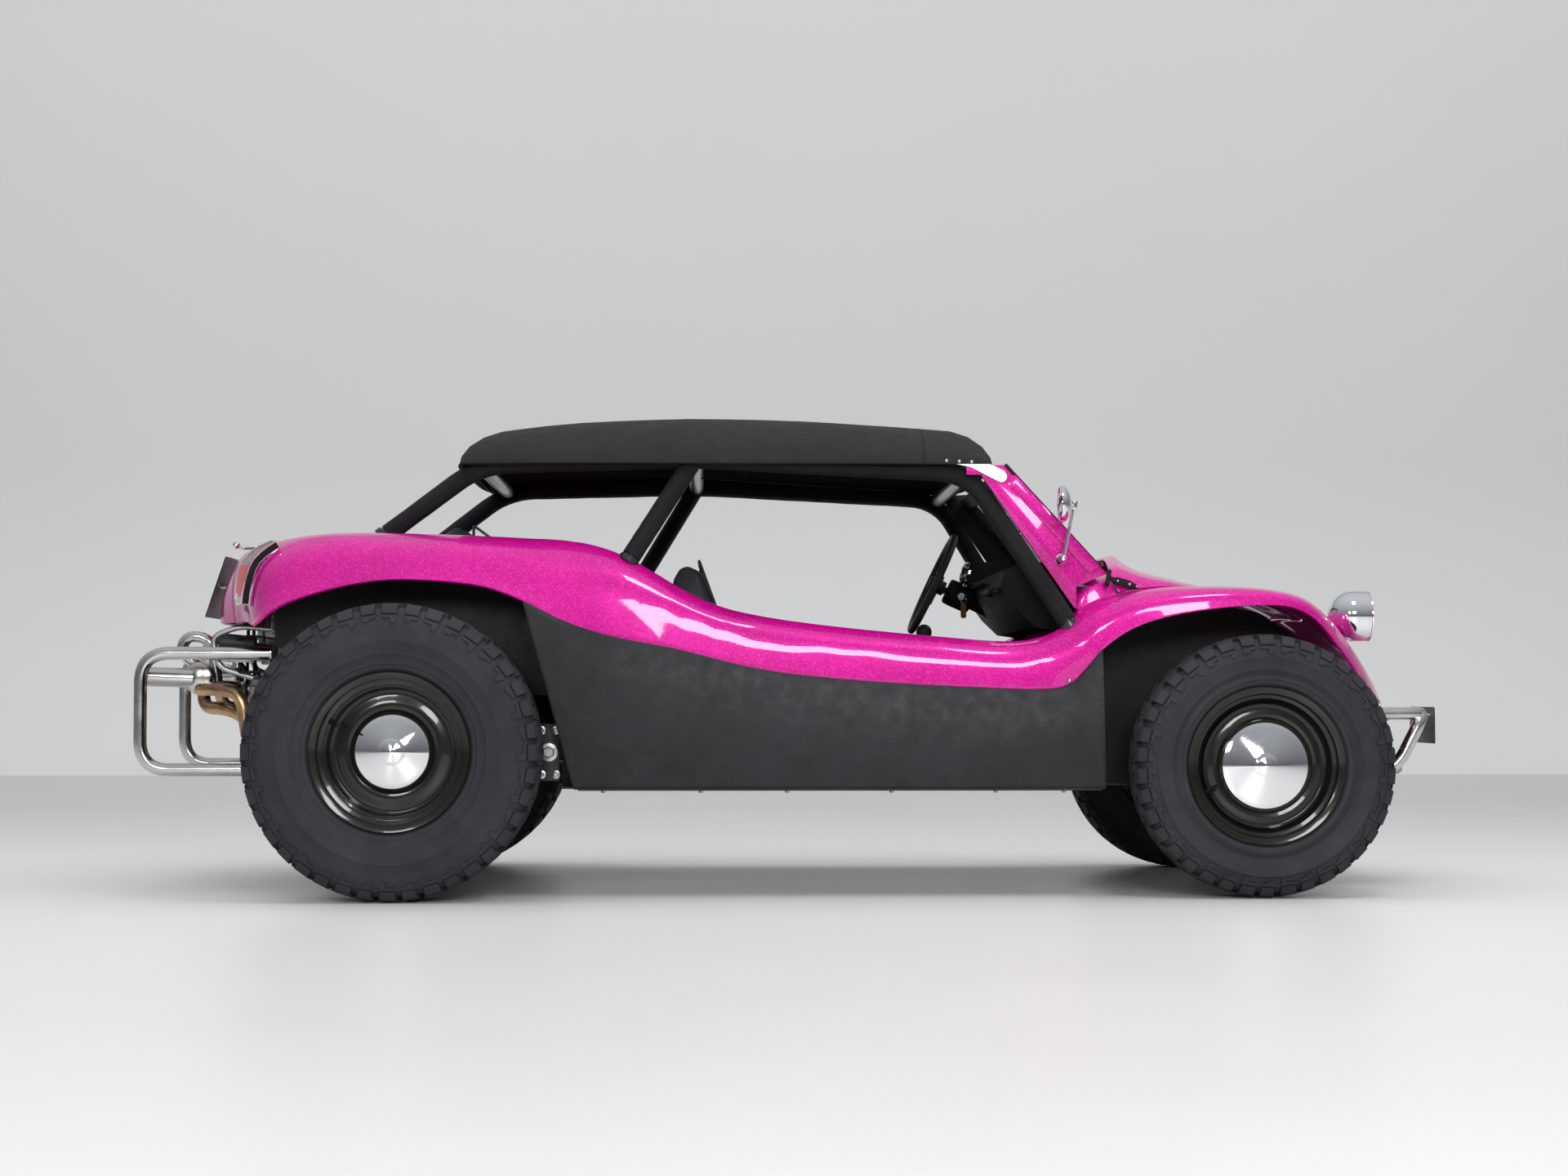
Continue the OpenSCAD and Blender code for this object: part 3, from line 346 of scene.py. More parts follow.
RUBBER = Finish("seal_rubber", "black_rubber", (0.008, 0.008, 0.0085), roughness=0.55, ior=1.3,
                grain_depth=0.0001)
TYRE = DustyRubber(
    "tyre_rubber", "tyre", (0.02, 0.0204, 0.026), roughness=0.78, ior=1.35, mottle_scale=7,
    grain_scale=260,
    grain_depth=0.0007)
ENAMEL = Finish(
    "wheel_enamel", "rim_enamel", (0.009, 0.0082, 0.006), roughness=0.2, coat=0.5,
    coat_roughness=0.03,
    ior=1.3, mottle=0.25, grain_depth=0.00004)
BLANK = Finish("blank_plate", "plate_white", (0.72, 0.72, 0.7), roughness=0.35, coat=0.2,
               mottle=0.03,
               grain_depth=0.0001)
BRACKET = Finish("white_enamel", "plate_white", (0.7, 0.7, 0.68), roughness=0.35, mottle=0.08,
                 grain_depth=0.0001)
GLASS = Finish(
    "clear_glass", "glass", (0.93, 0.97, 0.96), roughness=0.01, transmission=1.0, ior=1.45,
    mottle=0.01,
    grain_scale=3, grain_depth=0.00001)
RED = Finish("red_lens", "red_lens", (0.11, 0.002, 0.003), roughness=0.12, transmission=0.1,
             coat=1.0, mottle=0.1,
             grain=Grain.WEAVE, grain_scale=900, grain_depth=0.0006)
AMBER = Finish("amber_lens", "red_lens", (0.16, 0.028, 0.003), roughness=0.12, transmission=0.1,
               coat=1.0, mottle=0.1,
               grain=Grain.WEAVE, grain_scale=900, grain_depth=0.0006)
CLEAR = Finish("clear_lens", "red_lens", (0.09, 0.09, 0.095), roughness=0.12, transmission=0.1,
               coat=1.0,
               mottle=0.05, grain=Grain.WEAVE, grain_scale=900, grain_depth=0.0006)
DIAL = Finish("dial_face", "dash_black", (0.02, 0.02, 0.02), roughness=0.4, grain_depth=0.00005)
MARK = Finish("dial_marks", "plate_white", (0.75, 0.75, 0.7), roughness=0.5, grain_depth=0.00005)
FOB = Finish("fob_leather", "wheel_leather", (0.1, 0.035, 0.012), roughness=0.5,
             grain=Grain.LEATHER,
             grain_scale=900, grain_depth=0.0003)


# ---- shapes ----

@dataclass
class Datum:
    """Places taken from the frame: the axles and the middle of the wheelbase."""

    rear_x: float = 0.0
    front_x: float = 0.0

    def __post_init__(self) -> None:
        """Read the axles from the tyres' boxes."""
        self.rear_x = self.middle("rear_left_tyre").x
        self.front_x = self.middle("front_left_tyre").x

    @staticmethod
    def middle(node: str) -> Vector:
        """Return the middle of a CAD node's box."""
        low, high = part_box(node)
        return (low + high) / 2

    def at(self, x: float, y: float, z: float) -> Vector:
        """Return the frame's point for one written about the middle of the wheelbase."""
        return Vector((x + (self.rear_x + self.front_x) / 2, y, z))

    def route(self, points: Sequence[Point], side: int = LEFT) -> list[Vector]:
        """Return a route's points in the frame, on the left or mirrored to the right."""
        return [self.at(x, y * side, z) for x, y, z in points]


DATUM = Datum()


def facing(origin: Vector, axis: Vector, up: Vector = Vector((0, 0, 1))) -> Matrix:
    """Return a matrix whose Z is along axis and whose X is as near to up as it can be.

    Args:
        origin: Where the matrix puts its origin.
        axis: Direction of local Z.
        up: Direction that local X leans to.

    Returns:
        The placing matrix.
    """
    z = Vector(axis).normalized()
    x = Vector(up) - z * z.dot(Vector(up))
    x = x.normalized() if x.length > 1e-6 else z.orthogonal().normalized()
    y = z.cross(x)
    made = Matrix((x, y, z)).transposed().to_4x4()
    made.translation = origin
    return made


def arc(middle: tuple[float, float], r: float, start: float, end: float,
        steps: int = 8) -> list[tuple[float, float]]:
    """Return points of an arc in a profile's plane, with its angles in degrees."""
    turns = [math.radians(start + (end - start) * k / steps) for k in range(steps + 1)]
    return [(middle[0] + r * math.cos(t), middle[1] + r * math.sin(t)) for t in turns]


def curved(points: Sequence[Vector], bend: float, steps: int = 7) -> list[Vector]:
    """Round the corners of a route.

    Args:
        points: The route's corners and ends.
        bend: How far from a corner its curve starts.
        steps: Points along each curve.

    Returns:
        The rounded route.
    """
    out = [points[0]]
    for before, corner, after in zip(points, points[1:], points[2:]):
        a = corner + (before - corner).normalized() * min(bend, (before - corner).length * 0.49)
        b = corner + (after - corner).normalized() * min(bend, (after - corner).length * 0.49)
        for k in range(steps + 1):
            t = k / steps
            out.append(a * (1 - t) ** 2 + corner * 2 * t * (1 - t) + b * t * t)
    return out + [points[-1]]


class Shape:
    """Vertices and faces that grow into one mesh."""

    def __init__(self) -> None:
        """Start with nothing."""
        self.verts: list[Vector] = []
        self.faces: list[tuple[int, ...]] = []

    def add(self, verts: Sequence[Sequence[float]], faces: Sequence[Sequence[int]],
            place: Matrix = Matrix()) -> "Shape":
        """Add a mesh, placed by a matrix, with its faces turned if the matrix mirrors."""
        base, flip = len(self.verts), place.determinant() < 0
        self.verts += [place @ Vector(v) for v in verts]
        self.faces += [tuple(base + i for i in (reversed(f) if flip else f)) for f in faces]
        return self

    def grid(self, rows: Sequence[Sequence[Vector]], ring: bool = False, loop: bool = False,
             caps: bool = False,
             place: Matrix = Matrix()) -> "Shape":
        """Join rows of points into a surface.

        Args:
            rows: Equal rows of points.
            ring: Whether each row closes on itself.
            loop: Whether the last row joins the first.
            caps: Whether the first and last rows are filled in.
            place: Placing matrix.

        Returns:
            This shape.
        """
        n, m = len(rows), len(rows[0])
        faces = []
        for i in range(n if loop else n - 1):
            for j in range(m if ring else m - 1):
                a, b = i * m, (i + 1) % n * m
                k = (j + 1) % m
                faces.append((a + j, b + j, b + k, a + k))
        if caps:
            faces += [tuple(range(m)), tuple(reversed(range((n - 1) * m, n * m)))]
        return self.add([p for row in rows for p in row], faces, place)

    def lathe(self, profile: Profile, place: Matrix = Matrix(), steps: int = 48,
              closed: bool = False) -> "Shape":
        """Turn a profile of (radius, height) about local Z; points on the axis become one."""
        rows = []
        for k in range(steps):
            t = 2 * math.pi * k / steps
            rows.append([Vector((r * math.cos(t), r * math.sin(t), h)) for r, h in profile])
        if closed:
            rows = [row + [row[0]] for row in rows]
        return self.grid(rows, loop=True, place=place)

    def tube(self, points: Sequence[Vector], r: float, steps: int = 20, loop: bool = False,
             swell: Optional[Callable[[float], float]] = None) -> "Shape":
        """Sweep a round section along a route.

        Args:
            points: The route.
            r: Radius of the section.
            steps: Points round the section.
            loop: Whether the route closes on itself.
            swell: Scale of the radius at a share of the route, if it varies.

        Returns:
            This shape.
        """
        count = len(points)
        rows, side = [], None
        for i, p in enumerate(points):
            ahead = points[(i + 1) % count] if loop or i < count - 1 else p
            back = points[i - 1] if loop or i > 0 else p
            along = (ahead - back).normalized()
            side = along.orthogonal() if side is None else side - along * side.dot(along)
            side.normalize()
            up = along.cross(side)
            scale = r * (swell(i / max(count - 1, 1)) if swell else 1)
            rows.append([p + (side * math.cos(t) + up * math.sin(t)) * scale
                         for t in (2 * math.pi * k / steps for k in range(steps))])
        return self.grid(rows, ring=True, loop=loop, caps=not loop)

    def prism(self, outline: Profile, depth: float, place: Matrix = Matrix(),
              edge: float = 0.0) -> "Shape":
        """Raise a convex outline along local Z, with its top edge chamfered.

        Args:
            outline: Points round the outline, anticlockwise.
            depth: Height of the prism.
            place: Placing matrix.
            edge: Width of the chamfers.

        Returns:
            This shape.
        """
        mid = Vector((sum(p[0] for p in outline), sum(p[1] for p in outline))) / len(outline)
        inner = []
        for x, y in outline:
            inward = mid - Vector((x, y))
            inward = inward * min(1.0, edge * 1.4 / max(inward.length, 1e-9))
            inner.append((x + inward.x, y + inward.y))
        levels = [(inner, 0), (outline, edge), (outline, depth - edge),
                  (inner, depth)] if edge else [
            (outline, 0), (outline, depth)]
        rows = [[Vector((x, y, h)) for x, y in points] for points, h in levels]
        flipped = [list(reversed(row)) for row in rows]
        return self.grid(flipped, ring=True, caps=True, place=place)

    def slab(self, low: Sequence[float], high: Sequence[float], edge: float = 0.003) -> "Shape":
        """Add an upright block with chamfered edges between two corners."""
        size = [b - a for a, b in zip(low, high)]
        outline = rounded(size[0], size[1], min(edge * 2, size[0] / 3, size[1] / 3), 2)
        place = Matrix.Translation(((low[0] + high[0]) / 2, (low[1] + high[1]) / 2, low[2]))
        return self.prism(outline, size[2], place, min(edge, size[2] / 4))

    def ball(self, middle: Vector, r: float, squash: float = 1.0,
             place: Matrix = Matrix()) -> "Shape":
        """Add a ball, flattened along Z by squash."""
        profile = [(max(x, 1e-5), y * squash) for x, y in arc((0, 0), r, -90, 90, 10)]
        return self.lathe(profile, place @ Matrix.Translation(middle), 20)

    def bolt(self, at: Vector, axis: Vector, r: float = 0.008, h: float = 0.006,
             washer: bool = True) -> "Shape":
        """Add a hexagon head on a washer, with its axis pointing out of the surface."""
        place = facing(at, axis)
        if washer:
            self.lathe([(1e-4, -0.001), (r * 1.5, -0.001), (r * 1.5, 0.0012), (r * 1.4, 0.0016),
                        (1e-4, 0.0016)],
                       place, 20)
        hexagon = [(x, y) for x, y in arc((0, 0), r, 0, 300, 5)]
        return self.prism(hexagon, h, place @ Matrix.Translation((0, 0, 0.0016)), h * 0.18)

    def screw(self, at: Vector, axis: Vector, r: float = 0.006) -> "Shape":
        """Add a low domed screw head."""
        profile = [(r, 0)] + [(max(x, 1e-5), y) for x, y in arc((0, -r * 0.7), r * 1.22, 35, 90, 5)]
        return self.lathe(profile, facing(at, axis), 18)

    def both(self, build: Callable[["Shape"], None]) -> "Shape":
        """Run build once and add what it made again, mirrored to the other side of the car."""
        made = Shape()
        build(made)
        self.add(made.verts, made.faces)
        return self.add(made.verts, made.faces, Matrix.Scale(-1, 4, (0, 1, 0)))

    def mesh(self, name: str) -> bpy.types.Mesh:
        """Return a clean mesh with its faces turned outwards."""
        made = bpy.data.meshes.new(name)
        made.from_pydata([tuple(v) for v in self.verts], [], self.faces)
        bm = bmesh.new()
        bm.from_mesh(made)
        bmesh.ops.remove_doubles(bm, verts=bm.verts, dist=2e-5)
        bmesh.ops.dissolve_degenerate(bm, edges=bm.edges, dist=1e-6)
        bmesh.ops.recalc_face_normals(bm, faces=bm.faces)
        bm.to_mesh(made)
        bm.free()
        return made


def rounded(width: float, depth: float, r: float, steps: int = 4) -> list[tuple[float, float]]:
    """Return a rectangle's outline about the origin, with round corners, anticlockwise."""
    x, y = width / 2 - r, depth / 2 - r
    corners = [((x, y), 0), ((-x, y), 90), ((-x, -y), 180), ((x, -y), 270)]
    return [p for middle, turn in corners for p in arc(middle, r, turn, turn + 90, steps)]


def facets(node: str) -> tuple[list[Vector], list[tuple[int, ...]]]:
    """Return a CAD node's own points and triangles, with its split points joined again.

    Args:
        node: The CAD node's name.

    Returns:
        The points and the triangles.
    """
    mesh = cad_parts[node].data
    index: dict[tuple[int, ...], int] = {}
    verts: list[Vector] = []
    place = []
    for v in mesh.vertices:
        key = tuple(round(c * 2e4) for c in v.co)
        if key not in index:
            index[key] = len(verts)
            verts.append(v.co.copy())
        place.append(index[key])
    faces = [tuple(place[i] for i in p.vertices) for p in mesh.polygons]
    return verts, [f for f in faces if len(set(f)) == len(f)]


class Assembly:
    """Base of the sub-assemblies: turns shapes into dressed pieces that ride on a body."""

    body = "body"

    def show(self, obj: bpy.types.Object, finish: Finish, body: str = "",
             replaces: Sequence[str] = (),
             angle: float = 32.0) -> bpy.types.Object:
        """Dress an object and settle it on its body.

        Args:
            obj: The object.
            finish: Its finish.
            body: The CAD body that it rides on, if not this assembly's own.
            replaces: CAD nodes that it stands for.
            angle: Edges sharper than this stay sharp in shading, in degrees.

        Returns:
            The object.
        """
        obj.data.materials.clear()
        obj.data.materials.append(finish.material())
        obj.data.shade_smooth()
        obj.data.set_sharp_from_angle(angle=math.radians(angle))
        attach(obj, body or self.body)
        if replaces:
            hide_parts(*replaces)
        log.info("%s: %d faces on %s", obj.name, len(obj.data.polygons), body or self.body)
        return obj

    def piece(self, name: str, shape: Shape, finish: Finish, body: str = "",
              replaces: Sequence[str] = (),
              angle: float = 32.0) -> bpy.types.Object:
        """Make a shape into a dressed piece."""
        obj = bpy.data.objects.new(name, shape.mesh(name))
        bpy.context.scene.collection.objects.link(obj)
        return self.show(obj, finish, body, replaces, angle)

    def smoothed(self, node: str, name: str, finish: Finish, levels: int = 2, edge: float = 0.0016,
                 body: str = "") -> bpy.types.Object:
        """Stand a smooth skin for a faceted CAD skin: its facets paired, subdivided, and its rims rounded.

        Args:
            node: The CAD node.
            name: The new piece's name.
            finish: Its finish.
            levels: Levels of subdivision.
            edge: Radius of its rims.
            body: The body that it rides on.

        Returns:
            The new piece.
        """
        verts, faces = facets(node)
        mesh = bpy.data.meshes.new(name)
        mesh.from_pydata([tuple(v) for v in verts], [], faces)
        bm = bmesh.new()
        bm.from_mesh(mesh)
        bmesh.ops.join_triangles(bm, faces=bm.faces, angle_face_threshold=math.radians(25),
                                 angle_shape_threshold=math.radians(75), cmp_seam=False)
        crease = bm.edges.layers.float.get("crease_edge") or bm.edges.layers.float.new("crease_edge")
        for e in bm.edges:
            if len(e.link_faces) == 2 and e.calc_face_angle() > math.radians(48):
                e[crease] = 1.0
        bmesh.ops.recalc_face_normals(bm, faces=bm.faces)
        bm.to_mesh(mesh)
        bm.free()
        obj = bpy.data.objects.new(name, mesh)
        bpy.context.scene.collection.objects.link(obj)
        subdivide = obj.modifiers.new("smooth", "SUBSURF")
        subdivide.levels = subdivide.render_levels = levels
        if edge:
            bevel = obj.modifiers.new("rim", "BEVEL")
            bevel.width, bevel.segments, bevel.limit_method = edge, 2, "ANGLE"
            bevel.angle_limit = math.radians(50)
        self.apply(obj)
        return self.show(obj, finish, body, [node], 40)

    def softened(self, node: str, name: str, finish: Finish, edge: float = 0.002, body: str = "",
                 segments: int = 2) -> bpy.types.Object:
        """Stand a copy with rounded edges for a sharp-edged CAD node."""
        verts, faces = facets(node)
        mesh = bpy.data.meshes.new(name)
        mesh.from_pydata([tuple(v) for v in verts], [], faces)
        bm = bmesh.new()
        bm.from_mesh(mesh)
        bmesh.ops.recalc_face_normals(bm, faces=bm.faces)
        bmesh.ops.dissolve_limit(bm, angle_limit=math.radians(0.4), verts=bm.verts, edges=bm.edges)
        bm.to_mesh(mesh)
        bm.free()
        obj = bpy.data.objects.new(name, mesh)
        bpy.context.scene.collection.objects.link(obj)
        bevel = obj.modifiers.new("edge", "BEVEL")
        bevel.width, bevel.segments, bevel.limit_method = edge, segments, "ANGLE"
        bevel.angle_limit = math.radians(34)
        self.apply(obj)
        return self.show(obj, finish, body, [node], 30)

    @staticmethod
    def apply(obj: bpy.types.Object) -> None:
        """Bake an object's modifiers into its mesh."""
        bpy.context.view_layer.update()
        shown = obj.evaluated_get(bpy.context.evaluated_depsgraph_get())
        mesh = bpy.data.meshes.new_from_object(shown)
        obj.modifiers.clear()
        obj.data = mesh


# ---- wheels ----

@dataclass
class Wheel(Assembly):
    """One wheel: tyre with its lugs, stepped steel rim, valve and cap, about local Z pointing outboard."""

    axle: str
    side: int
    pitches: int
    disc_z: float
    cap_r: float
    cap_h: float
    seat_half: float
    valve_turn: float
    rim_r: float = 0.203
    tread_depth: float = 0.013
    cap_rise: float = 0.034

    def __post_init__(self) -> None:
        """Read the tyre's place and size from the frame."""
        self.key = f"{self.axle}_{SIDE_NAMES[self.side]}"
        self.body = self.key + "_wheel"
        low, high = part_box(self.key + "_tyre")
        self.r = (high.z - low.z) / 2
        self.half = (high.y - low.y) / 2
        middle = (low + high) / 2
        self.place = facing(middle, Vector((0, self.side, 0)))

    def carcass(self) -> list[tuple[float, float]]:
        """Return the tyre's section below its lugs, from the inner bead round the tread to the outer bead."""
        bead, r, half, seat = self.rim_r, self.r, self.half, self.seat_half
        side = [
            (bead + 0.002, seat - 0.004), (bead + 0.010, seat), (bead + 0.0165, seat + 0.001),
            (bead + 0.021, seat + 0.0045), (bead + 0.0225, seat + 0.0105),
            (bead + 0.027, seat + 0.0135),
            (bead + 0.033, seat + 0.0145), (bead + 0.036, seat + 0.0185),
            (bead + 0.05, half - 0.0165),
            (bead + 0.060, half - 0.0105), (bead + 0.0625, half - 0.0078),
            (bead + 0.066, half - 0.0078),
            (bead + 0.0685, half - 0.0075), (bead + 0.08, half - 0.0035),
            (bead + 0.095, half - 0.0015),
            (bead + 0.098, half), (bead + 0.1, half), (bead + 0.103, half - 0.0018),
            (r - 0.069, half - 0.004), (r - 0.06, half - 0.0055), (r - 0.045, half - 0.0095),
            (r - 0.034, half - 0.0165), (r - 0.031, half - 0.017), (r - 0.029, half - 0.02),
            (r - 0.021, half - 0.029), (r - self.tread_depth - 0.002, half - 0.041),
            (r - self.tread_depth, half - 0.06)]
        mirrored = [(x, -z) for x, z in side]
        return mirrored + [(r - self.tread_depth + 0.0005, 0.0)] + side[::-1]

    def lug(self, shape: Shape, turn: float, rows: Sequence[tuple[float, float, float, float, float,
                                                                  float]],
            side: int, draft: float = 0.0022) -> None:
        """Add one rubber block that stands on the carcass.

        Args:
            shape: Shape to add to.
            turn: The block's place round the tyre, in radians.
            rows: Sections across the block: start and end round the tyre in metres, the top's radius and
                offset from the centre plane, and the foot's radius and offset.
            side: Side of the tyre.
            draft: How far the foot spreads.
        """
        points = []
        for start, end, top_r, top_z, foot_r, foot_z in rows:
            row = []
            for arc_at, radius, offset in ((start - draft, foot_r, foot_z), (start, top_r, top_z),
                                           (end, top_r, top_z), (end + draft, foot_r, foot_z)):
                t = turn + arc_at / self.r
                row.append(Vector((radius * math.cos(t), radius * math.sin(t), offset * side)))
            points.append(row)
        shape.grid(points, ring=True, caps=True)

    def tread(self) -> Shape:
        """Return all the tyre's lugs: shoulder lugs, side biters and two interlocking centre rows."""
        shape, r, half = Shape(), self.r, self.half
        pitch = 2 * math.pi * r / self.pitches
        crown, foot = r - 0.0006, r - self.tread_depth - 0.003
        for n in range(self.pitches):
            for side in (LEFT, RIGHT):
                turn = 2 * math.pi * (n + (0.5 if side < 0 else 0)) / self.pitches
                long = n % 2 == 0
                a, b = -pitch * 0.36, pitch * (0.33 if long else 0.26)
                reach = half - 0.062
                self.lug(shape, turn, [
                    (a + 0.006, b + 0.006, crown - 0.0005, reach, foot, reach - 0.001),
                    (a, b, crown - 0.0025, half - 0.042, foot - 0.003, half - 0.045),
                    (a, b, r - 0.0085, half - 0.026, r - 0.024, half - 0.033),
                    (a, b, r - 0.021, half - 0.015, r - 0.031, half - 0.023),
                    (a + 0.001, b - 0.001, r - 0.0285, half - 0.0115, r - 0.036, half - 0.019)],
                    side)
                mid = (a + b) / 2
                if long:
                    rungs = [(a - 0.002, b + 0.002, 0.0335), (a - 0.002, b + 0.002, 0.041),
                             (a - 0.002, mid - 0.004, 0.0425), (a + 0.002, mid - 0.004, 0.053),
                             (a + 0.004, mid - 0.008, 0.058)]
                else:
                    rungs = [(a - 0.003, b + 0.003, 0.0335), (a - 0.001, b + 0.001, 0.042),
                             (mid - 0.002, b + 0.001, 0.0435), (mid + 0.002, b - 0.002, 0.05)]
                self.lug(shape, turn, [
                    (s, e, r - d, half - 0.0008 - max(0.0, 0.058 - d) * 0.36, r - d,
                     half - 0.0085 - max(0.0, 0.058 - d) * 0.5)
                    for s, e, d in rungs], side, 0.001)
                self.centre_lug(shape, turn, pitch, side, long, crown, foot)
        return shape

    def centre_lug(self, shape: Shape, turn: float, pitch: float, side: int, long: bool,
                   crown: float,
                   foot: float) -> None:
        """Add one of the stepped centre blocks, turned to fit its neighbour across the middle groove."""
        outer, inner = self.half - 0.07, 0.0045
        lean = pitch * 0.3
        skew = turn + (0.28 if long else 0.36) * pitch / self.r
        step = (outer - inner) * 0.5 + inner
        wide = pitch * (0.56 if long else 0.46)
        rows = [(0.0, wide, crown, inner, foot, inner),
                (lean * 0.4, lean * 0.4 + wide, crown, step, foot, step),
                (lean * 0.72, lean * 0.4 + wide * 1.05, crown, step + 0.002, foot, step + 0.002),
                (lean * 1.1, lean + wide * 0.95, crown, outer, foot, outer)]
        self.lug(shape, skew, [(s - wide / 2, e - wide / 2, *rest) for s, e, *rest in rows], side,
                 0.0016)

    def build_tyre(self) -> None:
        """Build the tyre."""
        shape = Shape().lathe(self.carcass() + [(self.rim_r + 0.012, self.seat_half - 0.018),
                                                (self.rim_r + 0.012, 0.018 - self.seat_half)],
                                                steps=120, closed=True)
        tread = self.tread()
        shape.add(tread.verts, tread.faces)
        placed = Shape().add(shape.verts, shape.faces, self.place)
        self.piece(self.key + "_tyre_treaded", placed, TYRE, replaces=[self.key + "_tyre"],
                   angle=28)

    def build_rim(self) -> None:
        """Build the rim: rolled lips, bead seats, hump, drop centre and dished disc, with its valve."""
        b, seat, disc = self.rim_r, self.seat_half + 0.001, self.disc_z
        lip = arc((b + 0.0125, seat + 0.0035), 0.005, -100, 60, 6)
        front = [(b + 0.0005, seat - 0.012), (b + 0.0012, seat - 0.002),
                 (b + 0.0105, seat - 0.0015)] + lip + [
            (b + 0.0125, seat + 0.0052), (b + 0.0045, seat + 0.0035), (b - 0.0035, seat + 0.0005),
            (b - 0.005, seat - 0.003),
            (b - 0.0055, seat - 0.0185), (b - 0.0075, seat - 0.021), (b - 0.0165, seat - 0.0235),
            (b - 0.019, seat - 0.0265), (b - 0.021, seat - 0.032), (b - 0.0265, seat - 0.036),
            (b - 0.028, seat - 0.041)]
        dish_out = b - 0.0285
        dish = [(dish_out, disc + 0.022)] + arc((dish_out - 0.012, disc + 0.018), 0.012, 0, -80, 5)
        face = [(b - 0.052, disc + 0.0075), (b - 0.062, disc + 0.0105),
                (self.cap_r + 0.022, disc + 0.0125),
                (self.cap_r + 0.013, disc + 0.0105), (self.cap_r + 0.007, disc + 0.0045),
                (self.cap_r - 0.002, disc + 0.001),
                (0.08, disc - 0.004), (0.05, disc - 0.008), (0.034, disc - 0.008)]
        back = [(0.034, disc - 0.014), (0.08, disc - 0.011), (self.cap_r + 0.012, disc + 0.003),
                (b - 0.052, disc - 0.001), (dish_out - 0.006, disc - 0.006),
                (dish_out - 0.006, 0.045 - seat),
                (b - 0.021, 0.035 - seat), (b - 0.0065, 0.022 - seat), (b - 0.0045, 0.004 - seat),
                (b + 0.011, -0.0045 - seat)]
        rear_lip = [(x, -z) for x, z in arc((b + 0.0125, seat + 0.0035), 0.005, 40, -100, 6)]
        outer = rear_lip + [(b + 0.0005, 0.002 - seat), (b + 0.0005, 0.02 - seat),
                            (b - 0.019, 0.036 - seat),
                            (b - 0.019, seat - 0.036)]
        shape = Shape().lathe(front + dish + face + back + outer, steps=112, closed=True)
        placed = Shape().add(shape.verts, shape.faces, self.place)
        self.piece(self.key + "_rim_stepped", placed, ENAMEL, replaces=[self.key + "_rim"],
                   angle=26)
        self.build_hub()
        self.build_valve()

    def build_hub(self) -> None:
        """Build the hub behind the cap with its nuts."""
        shape = Shape().lathe([(0.0165, self.disc_z - 0.055), (0.036, self.disc_z - 0.055),
                               (0.036, self.disc_z - 0.009),
                               (0.0165, self.disc_z - 0.009)], self.place, 32, closed=True)
        for k in range(5):
            t = math.radians(72 * k)
            at = self.place @ Vector((0.065 * math.cos(t), 0.065 * math.sin(t),
                                      self.disc_z - 0.0135))
            shape.bolt(at, self.place.to_3x3() @ Vector((0, 0, -1)), 0.0095, 0.012)
        self.piece(self.key + "_hub_nuts", shape, FORGED)

    def build_valve(self) -> None:
        """Build the rubber valve in the drop centre, leaning outboard."""
        t = math.radians(self.valve_turn) * self.side
        r = self.rim_r - 0.026
        root = Vector((r * math.cos(t), r * math.sin(t), self.seat_half - 0.03))
        lean = Vector((-math.cos(t) * 0.55, -math.sin(t) * 0.55, 0.83))
        profile = [(1e-4, -0.004), (0.0078, -0.004), (0.0078, 0.002), (0.006, 0.006),
                   (0.0045, 0.012), (0.0045, 0.026),
                   (0.0052, 0.0265), (0.0052, 0.036), (0.004, 0.038), (1e-4, 0.038)]
        shape = Shape().lathe(profile, self.place @ facing(root, lean), 16)
        self.piece(self.key + "_valve", shape, RUBBER)

    def build_cap(self) -> None:
        """Build the chrome cap: a rolled rim, a shallow dome and a raised middle."""
        base, r, h = self.disc_z + 0.0012, self.cap_r, self.cap_h
        wall = base + h - self.cap_rise
        profile = [(r - 0.004, base), (r - 0.0002, base + 0.0005), (r - 0.0002, wall),
                   (r - 0.0025, wall + 0.003)]
        for k in range(1, 22):
            x = (r - 0.006) * (1 - k / 22)
            y = wall + 0.0045 + (self.cap_rise - 0.0065) * (1 - (x / r) ** 1.25)
            profile.append((x, y if x < 0.031 else y - 0.0014))
        profile.append((1e-4, profile[-1][1] + 0.0004))
        inner = [(x, y - 0.0016) for x, y in reversed(profile[4:])]
        shape = Shape().lathe(profile + inner, self.place, 128)
        self.piece(self.key + "_cap_domed", shape, CHROME, replaces=[self.key + "_cap"], angle=22)

    def build(self) -> None:
        """Build the whole wheel."""
        self.build_tyre()
        self.build_rim()
        self.build_cap()


# ---- bodywork ----

